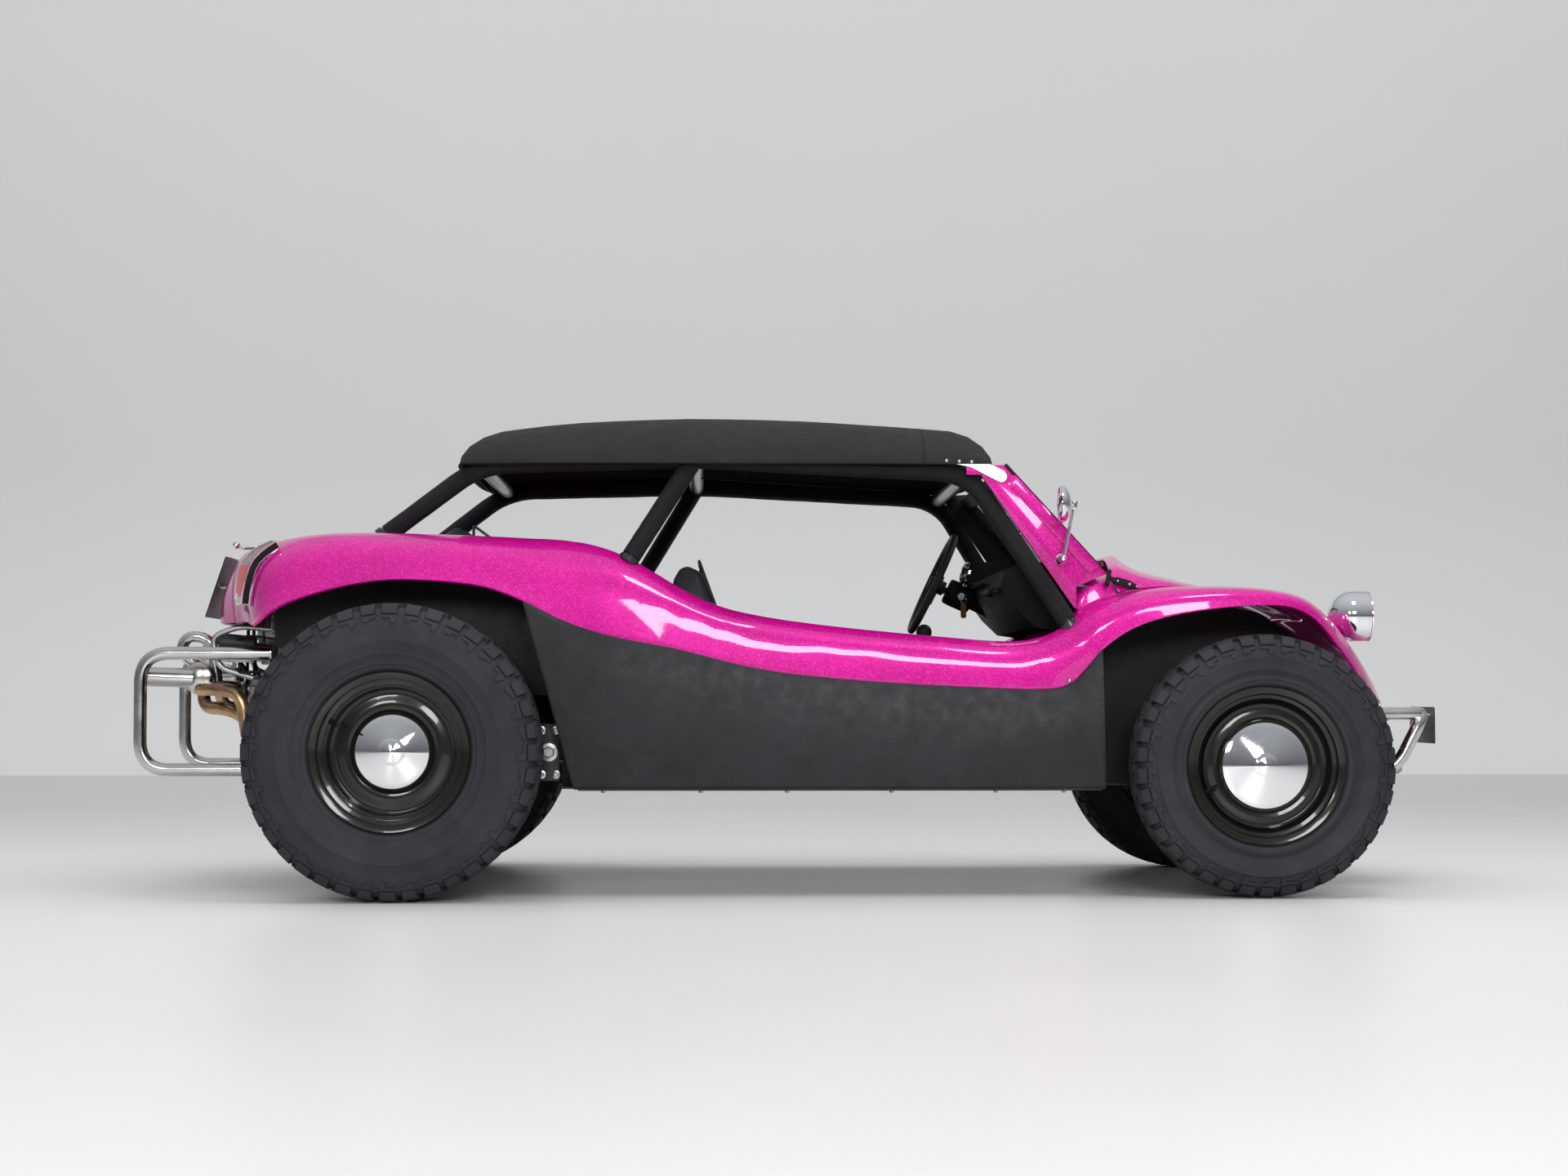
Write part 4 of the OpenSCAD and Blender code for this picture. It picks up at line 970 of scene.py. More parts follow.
@dataclass
class Bodywork(Assembly):
    """The fibreglass skins, the textured sides, the inner tub and the floor."""

    sill_z: float = 0.322
    sill_y: float = 0.69
    sill_ends: tuple[float, float] = (-0.7, 0.755)
    bolt_places: Sequence[float] = (-0.63, -0.36, -0.12, 0.17, 0.46, 0.65)

    def build_skins(self) -> None:
        """Build the painted skins and the textured sides."""
        self.smoothed("body_shell", "body_moulding", PAINT)
        self.smoothed("hood", "hood_moulding", PAINT, body="hood")
        self.smoothed("engine_lid", "engine_lid_moulding", PAINT, body="engine_lid")
        for side in ("left", "right"):
            self.smoothed(side + "_side_panel", side + "_side_coated", COATING)

    def build_tub(self) -> None:
        """Build the inner tub and the floor with rounded edges."""
        self.softened("inner_tub", "inner_tub_moulding", TUB, 0.0025)
        self.softened("floorpan", "floor_pressing", CHASSIS, 0.003)

    def build_sills(self) -> None:
        """Build the sills: a rolled ridge over a flat strip with a flange, and the bolts under them."""
        def ridge(shape: Shape) -> None:
            """Add the ridge along one sill."""
            start, end = (DATUM.at(x, 0, 0).x for x in self.sill_ends)
            section = [(0.0, 0.0), (0.0115, 0.0), (0.0115, -0.004), (0.0035, -0.006),
                       (0.0035, 0.016), (0.0065, 0.019),
                       (0.0085, 0.0255), (0.006, 0.0325), (0.0, 0.0355)]
            low = self.sill_z - 0.021
            rows = [[Vector((x, self.sill_y - 0.0002 + dy, low + dz)) for dy,
                     dz in section] for x in (start, end)]
            shape.grid(rows, ring=True, caps=True)
        self.piece("sill_strips", Shape().both(ridge), COATING)

        def bolts(shape: Shape) -> None:
            """Add the bolts under one sill."""
            for x in self.bolt_places:
                shape.bolt(DATUM.at(x, self.sill_y - 0.012, self.sill_z - 0.0225),
                           Vector((0, 0, -1)), 0.0065, 0.009)
            for x in (0.664, 0.722):
                at = DATUM.at(x, 0.706, 0.6)
                shape.screw(at, Vector((0, 1, 0)), 0.0055)
        self.piece("sill_bolts", Shape().both(bolts), FASTENER)

    def build(self) -> None:
        """Build the whole bodywork."""
        self.build_skins()
        self.build_tub()
        self.build_sills()


# ---- studio ----

@dataclass
class Studio:
    """The plain floor and backdrop, the soft lights and the camera."""

    camera_at: Point = (-0.24945, -8.34807, 0.5581)
    tilt: float = 2.239
    pan: float = -1.489
    lens: float = 63.29
    sensor: float = 36.0
    backdrop_y: float = 13.5
    sweep_r: float = 2.4
    pale: Colour = (0.6, 0.598, 0.592)
    wall_pale: Colour = (0.82, 0.815, 0.8)

    def build_floor(self) -> None:
        """Build one sheet of floor that curves up into the backdrop, glossy below and matt above."""
        points = [(-18.0, 0.0)] + [(y, z + self.sweep_r) for y, z in
                                   arc((self.backdrop_y - self.sweep_r, 0), self.sweep_r, -90, 0,
                                       12)]
        points.append((self.backdrop_y, 14.0))
        rows = [[Vector((x, y, z)) for y, z in points] for x in (-26.0, 26.0)]
        mesh = Shape().grid(rows).mesh("backdrop")
        obj = bpy.data.objects.new("backdrop", mesh)
        bpy.context.scene.collection.objects.link(obj)
        mesh.shade_smooth()
        floor = Finish("pale_floor", "", self.pale, roughness=0.36, mottle=0.006, mottle_scale=0.4,
                       uneven=0.04, grain_scale=30, grain_depth=0.00001)
        wall = Finish("pale_wall", "", self.wall_pale, roughness=0.85, mottle=0.006,
                      mottle_scale=0.4, grain_scale=90,
                      grain_depth=0.0001)
        mesh.materials.append(floor.material())
        mesh.materials.append(wall.material())
        for p in mesh.polygons:
            p.material_index = 1 if p.center.z > 0.001 else 0

    def lamp(self, name: str, at: Point, aim: Point, size: tuple[float, float],
             power: float) -> bpy.types.Object:
        """Hang one soft rectangular light and return it.

        Args:
            name: The light's name.
            at: Its place.
            aim: The point that it faces.
            size: Its width and length.
            power: Its power in watts.
        """
        data = bpy.data.lights.new(name, "AREA")
        data.shape, data.size, data.size_y, data.energy = "RECTANGLE", size[0], size[1], power
        lamp = bpy.data.objects.new(name, data)
        bpy.context.scene.collection.objects.link(lamp)
        lamp.location = at
        lamp.rotation_euler = (Vector(aim) - Vector(at)).to_track_quat("-Z", "Y").to_euler()
        return lamp

    def build_lights(self) -> None:
        """Hang the lights and light the world dim at and below the horizon and brighter towards the zenith."""
        for name, at, aim, size, power in (
                ("ceiling", (0.0, -0.2, 5.6), (0.0, -0.2, 0.0), (9.0, 4.6), 300),
                ("wall_wash", (0.0, 8.5, 8.5), (0.0, 13.5, 2.6), (24.0, 1.5), 330),
                ("front_fill", (0.5, -9.5, 3.4), (0.0, 0.0, 0.7), (8.0, 4.0), 330)):
            self.lamp(name, at, aim, size, power).visible_glossy = False
        for name, at, size, power in (
                ("window_rear", (-2.6, -9.2, 3.1), (1.3, 1.5), 110),
                ("window_side", (1.0, -9.2, 3.1), (2.2, 1.5), 190),
                ("window_front", (1.5, -2.6, 4.5), (0.8, 0.9), 45)):
            self.lamp(name, at, (at[0] * 0.8, -0.6, 0.6), size, power)
        world = bpy.data.worlds.new("studio")
        bpy.context.scene.world = world
        world.use_nodes = True
        nodes, links = world.node_tree.nodes, world.node_tree.links
        coords, split = nodes.new("ShaderNodeTexCoord"), nodes.new("ShaderNodeSeparateXYZ")
        ramp = nodes.new("ShaderNodeValToRGB")
        links.new(coords.outputs["Generated"], split.inputs[0])
        links.new(split.outputs[2], ramp.inputs["Fac"])
        ramp.color_ramp.elements[0].color = (0.13, 0.135, 0.145, 1)
        ramp.color_ramp.elements[1].color = (0.6, 0.62, 0.66, 1)
        links.new(ramp.outputs["Color"], nodes["Background"].inputs["Color"])
        nodes["Background"].inputs["Strength"].default_value = 1.0

    def build_camera(self) -> None:
        """Set the camera."""
        data = bpy.data.cameras.new("camera")
        data.lens, data.sensor_width, data.sensor_fit = self.lens, self.sensor, "HORIZONTAL"
        camera = bpy.data.objects.new("camera", data)
        bpy.context.scene.collection.objects.link(camera)
        camera.location = self.camera_at
        camera.rotation_euler = (math.radians(90 + self.tilt), 0, math.radians(self.pan))
        bpy.context.scene.camera = camera
        bpy.context.scene.view_settings.view_transform = "Standard"

    def build(self) -> None:
        """Build the whole studio."""
        self.build_camera()
        self.build_floor()
        self.build_lights()


# ---- glasshouse ----

@dataclass
class Glasshouse(Assembly):
    """The screen and its frame, the hard top, and the tube cage in its padded sleeves."""

    screen_foot: tuple[float, float] = (0.763, 0.925)
    screen_top: tuple[float, float] = (0.499, 1.212)
    screen_half: float = 0.6
    screen_bar: float = 0.042
    screen_t: float = 0.034
    cage_r: float = 0.027
    roof_joint_x: float = 0.27
    crown: Sequence[tuple[float, float]] = ((-1.12, 0.0), (-1.0, 0.008), (-0.86, 0.022),
                                            (-0.7, 0.018), (-0.4, 0.014),
                                            (-0.1, 0.018), (0.18, 0.026), (0.3, 0.02), (0.4, 0.0))
    front_top: Point = (0.398, 0.546, 1.19)
    b_top: Point = (-0.38, 0.545, 1.23)
    rear_top: Point = (-0.985, 0.52, 1.214)
    a_foot: Point = (0.674, 0.632, 0.758)
    b_foot: Point = (-0.562, 0.639, 0.938)
    stay_foot: Point = (-1.257, 0.535, 1.008)

    def on_screen(self, across: float, up: float, out: float = 0.0) -> Vector:
        """Return a point of the screen's outer plane: across the car, up the slope, and out through the glass."""
        foot, top = Vector(self.screen_foot), Vector(self.screen_top)
        slope = (top - foot).normalized()
        normal = Vector((slope.y, -slope.x))
        x, z = foot + slope * up + normal * out
        return DATUM.at(x, across, z)

    def build_screen(self) -> None:
        """Build the painted frame, the glass and the rubber that holds it."""
        obj = self.softened("windshield_frame", "windshield_surround", PAINT, 0.006, segments=3)
        obj.data.materials.append(RUBBER.material())
        for p in obj.data.polygons:
            inward = p.normal.y * p.center.y < -0.0005 or (p.normal.x < -0.4 and abs(p.center.y) < 0.592)
            inward = inward or p.center.x < DATUM.at(0.425, 0, 0).x
            p.material_index = 1 if inward else 0
        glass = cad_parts["windshield_glass"]
        glass.data.materials.clear()
        glass.data.materials.append(GLASS.material())
        height = (Vector(self.screen_top) - Vector(self.screen_foot)).length
        width = 2 * (self.screen_half - self.screen_bar)
        tall = height - 2 * self.screen_bar
        outline = rounded(width, tall, 0.03, 6)
        shape = Shape()
        for out in (-self.screen_t / 2 + 0.0055, -self.screen_t / 2 - 0.0055):
            path = [self.on_screen(x, y + height / 2, out) for x, y in outline]
            shape.tube(path, 0.0055, 8, loop=True)
        for side in (LEFT, RIGHT):
            edge = [self.on_screen((self.screen_half - 0.008) * side, height * k / 8, -0.001)
                    for k in range(9)]
            shape.tube(edge, 0.0055, 10)
        self.piece("windshield_rubber", shape, RUBBER)

    def build_roof(self) -> None:
        """Build the hard top, its lower bead, the joint of its front section and the screws there."""
        obj = self.softened("roof", "roof_moulding", ROOFING, 0.004, segments=3)
        low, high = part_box("roof")
        places = [DATUM.at(x, 0, 0).x for x, _ in self.crown]
        drops = [drop for _, drop in self.crown]
        for v in obj.data.vertices:
            share = max(0.0, (v.co.z - low.z) / (high.z - low.z))
            v.co.z -= share * float(np.interp(v.co.x, places, drops))
        beads = Shape()
        for loop in rim_loops("roof", 60):
            beads.tube(loop, 0.0022, 6, loop=True)
        self.piece("roof_beads", beads, RUBBER)
        joint = Shape()
        for loop in cut_loops(obj.data, DATUM.at(self.roof_joint_x, 0, 0).x):
            joint.tube(loop, 0.0014, 6, loop=True)
        self.piece("roof_joint", joint, RUBBER)

        def screws(shape: Shape) -> None:
            """Add the screws at one front corner of the roof."""
            for x, z in ((0.332, 1.222), (0.368, 1.2205), (0.403, 1.219)):
                shape.screw(DATUM.at(x, -low.y - 0.002, z), Vector((0, 1, 0.1)), 0.0048)
        self.piece("roof_screws", Shape().both(screws), FASTENER)

    def tops(self) -> list[Point]:
        """Return the cage's upper corners from front to rear."""
        return [self.front_top, self.b_top, self.rear_top]

    def build_cage(self) -> None:
        """Build the bare tubes with their feet, then the sleeves that cover them."""
        r = self.cage_r

        def tubes(shape: Shape) -> None:
            """Add the cage tubes of one side."""
            side = DATUM.route([self.a_foot, *self.tops(), self.stay_foot])
            shape.tube(curved(side, 0.09), r - 0.004, 20)
            shape.tube(DATUM.route([self.b_top, self.b_foot]), r - 0.0045, 20)
            for foot, top in ((self.a_foot, self.front_top), (self.b_foot, self.b_top),
                              (self.stay_foot, self.rear_top)):
                at = DATUM.at(*foot)
                shape.lathe([(1e-4, -0.012), (r + 0.001, -0.012), (r + 0.003, -0.009),
                             (r + 0.003, 0.004),
                             (r - 0.001, 0.009), (1e-4, 0.009)], facing(at, DATUM.at(*top) - at),
                             28)
        shape = Shape().both(tubes)
        for x, y, z in self.tops():
            shape.tube([DATUM.at(x, -y, z), DATUM.at(x, y, z)], r - 0.003, 20)
        self.piece("cage_tubes", shape, TUBING, replaces=["roll_cage"])
        for side in (LEFT, RIGHT):
            name = SIDE_NAMES[side]
            rail = DATUM.route([self.a_foot, *self.tops(), self.stay_foot], side)
            self.sleeve("cage_sleeve_rail_" + name, curved(rail, 0.09))
            self.sleeve("cage_sleeve_hoop_" + name, DATUM.route([self.b_top, self.b_foot], side))

    def sleeve(self, name: str, points: list[Vector]) -> None:
        """Build one padded sleeve with its sewn seam along it, short of the ends of its tube.

        Args:
            name: The piece's name.
            points: The tube's route.
        """
        trim, r = 0.012, self.cage_r
        ends = list(points)
        ends[0] = points[0] + (points[1] - points[0]).normalized() * trim
        ends[-1] = points[-1] + (points[-2] - points[-1]).normalized() * trim
        path = []
        for a, b in zip(ends, ends[1:]):
            steps = max(int((b - a).length / 0.02), 1)
            path += [a.lerp(b, k / steps) for k in range(steps)]
        path.append(ends[-1])
        shape = Shape().tube(path, r, 28,
                             swell=lambda t: 1 + 0.01 * math.sin(t * 57) + 0.008 * math.sin(t * 141 + 1))
        self.piece(name, shape, SLEEVE)
        line = []
        for before, p, after in zip(path, path[1:], path[2:]):
            along = (after - before).normalized()
            out = Vector((0.25, math.copysign(1.0, p.y), 0.1))
            line.append(p + (out - along * out.dot(along)).normalized() * (r * 0.985))
        self.piece(name + "_seam", Shape().tube(line, 0.0022, 6), SLEEVE)

    def build_brackets(self) -> None:
        """Build the white brackets that tie the roof's front corners to the screen's pillars."""
        def bracket(shape: Shape) -> None:
            """Add the bracket between roof and screen on one side."""
            top = [(0.36, 1.212), (0.455, 1.212), (0.497, 1.192)]
            tip = arc((0.487, 1.176), 0.0155, 40, -120, 8)
            outline = [(x, z) for x, z in reversed(top + tip + [(0.40, 1.203)])]
            verts, n = [], len(outline)
            for y in (0.5985, 0.6015):
                verts += [DATUM.at(x, y, z) for x, z in outline]
            faces = [tuple(range(n)), tuple(reversed(range(n, 2 * n)))]
            faces += [(k, (k + 1) % n, n + (k + 1) % n, n + k) for k in range(n)]
            shape.add(verts, faces)
        self.piece("roof_brackets", Shape().both(bracket), BRACKET)

        def bolts(shape: Shape) -> None:
            """Add the bolt of one roof bracket."""
            shape.bolt(DATUM.at(0.487, 0.6015, 1.176), Vector((0, 1, 0)), 0.006, 0.005)
        self.piece("roof_bracket_bolts", Shape().both(bolts), FASTENER)

    def build(self) -> None:
        """Build the whole glasshouse."""
        self.build_screen()
        self.build_roof()
        self.build_cage()
        self.build_brackets()


def puff(obj: bpy.types.Object, voxel: float = 0.006, pressure: float = 4.0, cap: float = 0.012,
         flat_z: Optional[float] = None) -> None:
    """Swell a cushion by cloth pressure and apply the result.

    Args:
        obj: The cushion, a closed mesh a little smaller than it should end.
        voxel: Size of the remesh.
        pressure: Pressure inside.
        cap: Farthest that a point may move.
        flat_z: Height that nothing sinks below, if it rests on something.
    """
    remesh = obj.modifiers.new("remesh", "REMESH")
    remesh.mode, remesh.voxel_size, remesh.use_smooth_shade = "VOXEL", voxel, True
    Assembly.apply(obj)
    rest = np.array([v.co for v in obj.data.vertices])
    cloth = obj.modifiers.new("cloth", "CLOTH")
    cloth.settings.use_pressure = True
    cloth.settings.uniform_pressure_force = pressure
    cloth.settings.quality = 5
    cloth.settings.tension_stiffness = cloth.settings.compression_stiffness = 18
    cloth.settings.effector_weights.gravity = 0
    scene = bpy.context.scene
    for step in range(1, 21):
        scene.frame_set(step)
    Assembly.apply(obj)
    scene.frame_set(1)
    now = np.array([v.co for v in obj.data.vertices])
    move = now - rest
    far = np.linalg.norm(move, axis=1, keepdims=True)
    now = rest + move * np.minimum(1.0, cap / np.maximum(far, 1e-9))
    if flat_z is not None:
        now[:, 2] = np.maximum(now[:, 2], flat_z)
    obj.data.vertices.foreach_set("co", now.astype(np.float32).ravel())
    obj.data.update()


# ---- cockpit ----

@dataclass
class Seat(Assembly):
    """A bucket or bench seat: base, cushion and backrest with sewn channels."""

    node: str
    at: Point
    width: float
    depth: float
    back_h: float
    rake: float
    cushion_h: float
    pad: float
    channels: int = 6

    def lean(self, x: float, z: float) -> tuple[float, float]:
        """Return a point of the backrest's own plane, leaned back about its foot."""
        t = math.radians(self.rake)
        return (x * math.cos(t) - z * math.sin(t),
                self.cushion_h - self.pad + x * math.sin(t) + z * math.cos(t))

    def pad_shape(self, length: float, thick: float, place: Matrix, crown: float) -> Shape:
        """Return a closed pad: local X across the car, Y along its length and Z its thickness.

        Args:
            length: Length of the pad.
            thick: Thickness of the pad.
            place: Placing matrix.
            crown: How far its end draws in at the corners.

        Returns:
            The pad.
        """
        rows, steps = [], 22
        for i in range(steps + 1):
            v = i / steps
            half = self.width / 2 - 0.008 - crown * (abs(2 * v - 1) ** 5 if v > 0.5 else 0.25 * abs(2 * v - 1) ** 6)
            end = math.sqrt(max(1 - abs(2 * v - 1) ** 9, 0.0))
            row = []
            for x, z in rounded(2 * half, thick * (0.3 + 0.7 * end), min(0.03, thick * 0.28), 5):
                scoop = 0.02 * (1 - (x / half) ** 2) * end if z > 0 else 0.0
                row.append(Vector((x, length * v, z + thick / 2 - scoop)))
            rows.append(row)
        return Shape().grid(rows, ring=True, caps=True, place=place)

    def place_of(self, foot: Vector, along: Vector, out: Vector) -> Matrix:
        """Return the matrix that lays a pad at foot, running along one way and facing out another."""
        y, z = along.normalized(), out.normalized()
        made = Matrix((y.cross(z), y, z)).transposed().to_4x4()
        made.translation = foot
        return made

    def channel(self, place: Matrix, length: float, thick: float, obj: bpy.types.Object) -> None:
        """Press sewn channels into a pad's face.

        Args:
            place: The pad's placing matrix.
            length: The pad's length.
            thick: The pad's thickness.
            obj: The pad's object, whose mesh is pressed in along the channels.
        """
        inverse = place.inverted()
        margin = self.width * 0.2
        lines = [length * (0.14 + 0.72 * k / (self.channels - 1)) for k in range(self.channels)]
        for v in obj.data.vertices:
            p = inverse @ v.co
            if p.z < thick * 0.45:
                continue
            inside = max(0.0, 1 - max(0.0, abs(p.x) - (self.width / 2 - margin)) / 0.012)
            dip = sum(math.exp(-((p.y - y) / 0.0055) ** 2) for y in lines) * 0.0065 * min(inside, 1)
            rim = math.exp(-((abs(p.x) - (self.width / 2 - margin + 0.006)) / 0.006) ** 2) * 0.006
            rim *= 1.0 if lines[0] - 0.03 < p.y < lines[-1] + 0.03 else 0.0
            v.co = place @ Vector((p.x, p.y, p.z - dip - rim))
        obj.data.update()

    def build(self) -> None:
        """Build the whole seat."""
        x, y, z = self.at
        base = Shape()
        half = self.width / 2
        foot = DATUM.at(x, y, z)
        cushion_t = 0.135 if self.cushion_h > 0.2 else self.cushion_h - 0.004
        if self.cushion_h > 0.2:
            base.slab((foot.x + 0.02, foot.y - half + 0.02, foot.z),
                      (foot.x + self.depth - 0.02, foot.y + half - 0.02,
                      foot.z + self.cushion_h - cushion_t + 0.004), 0.012)
            self.piece(self.node + "_base", base, TUB)
        cushion = self.place_of(foot + Vector((0.004, 0, self.cushion_h - cushion_t)),
                                Vector((1, 0, 0)), Vector((0, 0, 1)))
        length = self.depth + self.pad / 2 - 0.01
        self.pad_piece(self.node + "_cushion", cushion, length, cushion_t - 0.008, 0.03,
                       [self.node])
        back_foot = self.lean(0.02 - self.pad + 0.006, 0.06)
        t = math.radians(self.rake)
        back = self.place_of(foot + Vector((back_foot[0], 0, back_foot[1])),
                             Vector((-math.sin(t), 0, math.cos(t))),
                             Vector((math.cos(t), 0, math.sin(t))))
        self.pad_piece(self.node + "_backrest", back, self.back_h - 0.07, self.pad - 0.018, 0.045,
                       [])

    def pad_piece(self, name: str, place: Matrix, length: float, thick: float, crown: float,
                  replaces: list[str]) -> None:
        """Build one pad with its channels and its piping.

        Args:
            name: The piece's name.
            place: Its placing matrix.
            length: Its length.
            thick: Its thickness.
            crown: How far its far corners draw in.
            replaces: The CAD node that it stands for.
        """
        shape = self.pad_shape(length, thick, place, crown)
        obj = bpy.data.objects.new(name, shape.mesh(name))
        bpy.context.scene.collection.objects.link(obj)
        puff(obj, 0.006, 4.0, 0.009)
        stitches = Shape()
        self.channel(place, length, thick, obj)
        self.show(obj, VINYL, replaces=replaces, angle=70)
        half = self.width / 2 - 0.008
        ring = []
        for u, v in rounded(2 * half - crown * 0.8, length * 0.985, 0.05, 6):
            ring.append(place @ Vector((u, v + length / 2, thick + 0.001)))
        self.piece(name + "_piping", Shape().tube(ring, 0.0042, 8, loop=True), VINYL)


@dataclass
class Cockpit(Assembly):
    """The dash with its dials, the column and steering wheel, the lever and the seats."""

    wheel_at: Point = (0.367, 0.34, 0.911)
    slope: float = 25.0
    rim_r: float = 0.1605
    grip_r: float = 0.012
    knob_at: Point = (0.313, 0.0, 0.751)
    lever_foot: Point = (0.25, 0.0, 0.4503)

    def column_place(self) -> Matrix:
        """Return the matrix at the steering wheel's centre with Z up the column, towards the driver."""
        t = math.radians(self.slope)
        return facing(DATUM.at(*self.wheel_at), Vector((-math.cos(t), 0, math.sin(t))))

    def build_dash(self) -> None:
        """Build the padded dash, its dials in their bezels and its switches."""
        self.softened("dashboard", "dash_padded", DASH, 0.007, segments=3)
        axis = Vector((-0.97, 0, 0.12))
        bezels, faces, marks = Shape(), Shape(), Shape()
        for y, r in ((0.29, 0.043), (0.39, 0.043), (0.452, 0.024), (0.228, 0.024)):
            place = facing(DATUM.at(0.4705, y, 0.936), axis)
            bezels.lathe([(r, -0.003), (r, 0.004), (r - 0.003, 0.0065), (r - 0.006, 0.004),
                          (r - 0.006, 0.0005),
                          (r - 0.006, -0.003)], place, 40, closed=True)
            faces.lathe([(1e-4, 0.001), (r - 0.0055, 0.001), (r - 0.0055, -0.003), (1e-4, -0.003)],
                        place, 40)
            for k in range(9):
                t = math.radians(-30 + 240 * k / 8)
                tick = place @ Matrix.Rotation(t, 4,
                                               "Z") @ Matrix.Translation((0, r - 0.0125, 0.0012))
                marks.prism([(-0.0006, -0.003), (0.0006, -0.003), (0.0006, 0.003),
                             (-0.0006, 0.003)], 0.0005, tick)
            needle = place @ Matrix.Rotation(math.radians(35), 4,
                                             "Z") @ Matrix.Translation((0, 0, 0.0015))
            marks.prism([(-0.0012, -0.004), (0.0012, -0.004), (0.0004, r - 0.014),
                         (-0.0004, r - 0.014)], 0.0006, needle)
        self.piece("dial_bezels", bezels, CHROME)
        self.piece("dial_faces", faces, DIAL)
        self.piece("dial_marks", marks, MARK)
        knobs = Shape()
        for k in range(5):
            at = DATUM.at(0.4975, 0.12 - 0.055 * k, 0.893)
            knobs.lathe([(1e-4, 0.0), (0.0045, 0.0), (0.0045, 0.008), (0.009, 0.01), (0.0095, 0.02),
                         (0.008, 0.0225),
                         (1e-4, 0.0225)], facing(at, axis), 20)
        self.piece("dash_knobs", knobs, RUBBER)
        handle = Shape().tube(curved(DATUM.route([(0.515, -0.2, 0.86), (0.475, -0.2, 0.86),
                                                  (0.475, -0.42, 0.86),
                                                  (0.515, -0.42, 0.86)]), 0.03), 0.009, 14)
        self.piece("grab_handle", handle, RUBBER)

    def build_column(self) -> None:
        """Build the column's shroud with its stalk, lock, key and fob."""
        place = self.column_place()
        shroud = Shape().lathe([(0.0095, -0.048), (0.036, -0.048), (0.0405, -0.053),
                                (0.0415, -0.075), (0.0405, -0.125),
                                (0.034, -0.136), (0.024, -0.138), (0.024, -0.298),
                                (0.0095, -0.298)], place, 40,
                               closed=True)
        self.piece("column_shroud", shroud, DASH, replaces=["steering_column"])
        stalk = Shape().tube(curved([place @ Vector(p) for p in ((0, 0.035, -0.075),
                                                                 (0, 0.1, -0.07),
                                                                 (0, 0.17, -0.045))],
                                    0.03), 0.0042, 12)
        stalk.ball(place @ Vector((0, 0.17, -0.045)), 0.0075)
        self.piece("column_stalk", stalk, RUBBER)
        lock_at = DATUM.at(0.455, self.wheel_at[1] - 0.041, 0.87)
        lock = Shape().lathe([(1e-4, -0.02), (0.014, -0.02), (0.014, 0.004), (0.011, 0.006),
                              (1e-4, 0.006)],
                             facing(lock_at, Vector((-0.2, -1, 0))), 24)
        lock.slab(lock_at + Vector((-0.006, -0.03, -0.002)),
                  lock_at + Vector((0.014, -0.005, 0.001)), 0.0005)
        self.piece("column_lock", lock, CHROME)
        hang = lock_at + Vector((0.003, -0.027, -0.002))
        ring = [hang + Vector((0.009 * math.cos(t), 0, 0.009 * math.sin(t) - 0.009))
                for t in (2 * math.pi * k / 16 for k in range(16))]
        self.piece("key_ring", Shape().tube(ring, 0.0008, 6, loop=True), CHROME)
        tag = Shape().prism(rounded(0.018, 0.05, 0.007), 0.004,
                            Matrix.Translation(hang + Vector((0, 0.002, -0.042)))
                            @ Matrix.Rotation(math.radians(90), 4, "X"), 0.001)
        self.piece("key_fob", tag, FOB)

    def build_wheel(self) -> None:
        """Build the steering wheel: a stitched grip, three drilled spokes and a hub with its boss."""
        place = self.column_place()
        steps = 96
        ring = [place @ Vector((self.rim_r * math.cos(t), self.rim_r * math.sin(t), 0))
                for t in (2 * math.pi * k / steps for k in range(steps))]
        grip = Shape().tube(ring, self.grip_r * 0.99, 18, loop=True)
        self.piece("steering_grip", grip, GRIP, "steering_wheel", ["steering_wheel"])
        seam = [place @ Vector(((self.rim_r - 0.0116) * math.cos(t),
                                (self.rim_r - 0.0116) * math.sin(t), 0))
                for t in (2 * math.pi * k / steps for k in range(steps))]
        self.piece("steering_grip_seam", Shape().tube(seam, 0.0011, 6, loop=True), THREAD,
                   "steering_wheel")
        spokes = Shape()
        for turn in (180, 75, 285):
            arm = place @ Matrix.Rotation(math.radians(turn), 4, "Z")
            for k, (x0, x1) in enumerate(((0.028, 0.062), (0.074, 0.092), (0.104, 0.122),
                                          (0.134, 0.152))):
                w0, w1 = 0.0195 - 0.05 * x0, 0.0195 - 0.05 * x1
                spokes.prism([(x0, -w0), (x1, -w1), (x1, w1), (x0, w0)], 0.003,
                             arm @ Matrix.Translation((0, 0, -0.006 - 0.02 * (1 - x0 / 0.15))))
            for s in (-1, 1):
                spokes.tube([arm @ Vector((0.025, s * 0.0155, -0.0215)),
                             arm @ Vector((0.153, s * 0.0095, -0.003))],
                            0.0028, 8)
        self.piece("steering_spokes", spokes, TUBING, "steering_wheel")
        hub = Shape().lathe([(1e-4, 0.012), (0.02, 0.0115), (0.0235, 0.009), (0.0238, 0.002),
                             (0.031, 0.001), (0.033, -0.002),
                             (0.033, -0.012), (0.024, -0.014), (0.022, -0.04), (0.0088, -0.041),
                             (0.0088, -0.139),
                             (1e-4, -0.139)], place, 40)
        for k in range(6):
            t = math.radians(60 * k + 30)
            hub.screw(place @ Vector((0.028 * math.cos(t), 0.028 * math.sin(t), 0.0008)),
                      place.to_3x3() @ Vector((0, 0, 1)),
                      0.0025)
        self.piece("steering_hub", hub, RUBBER, "steering_wheel")

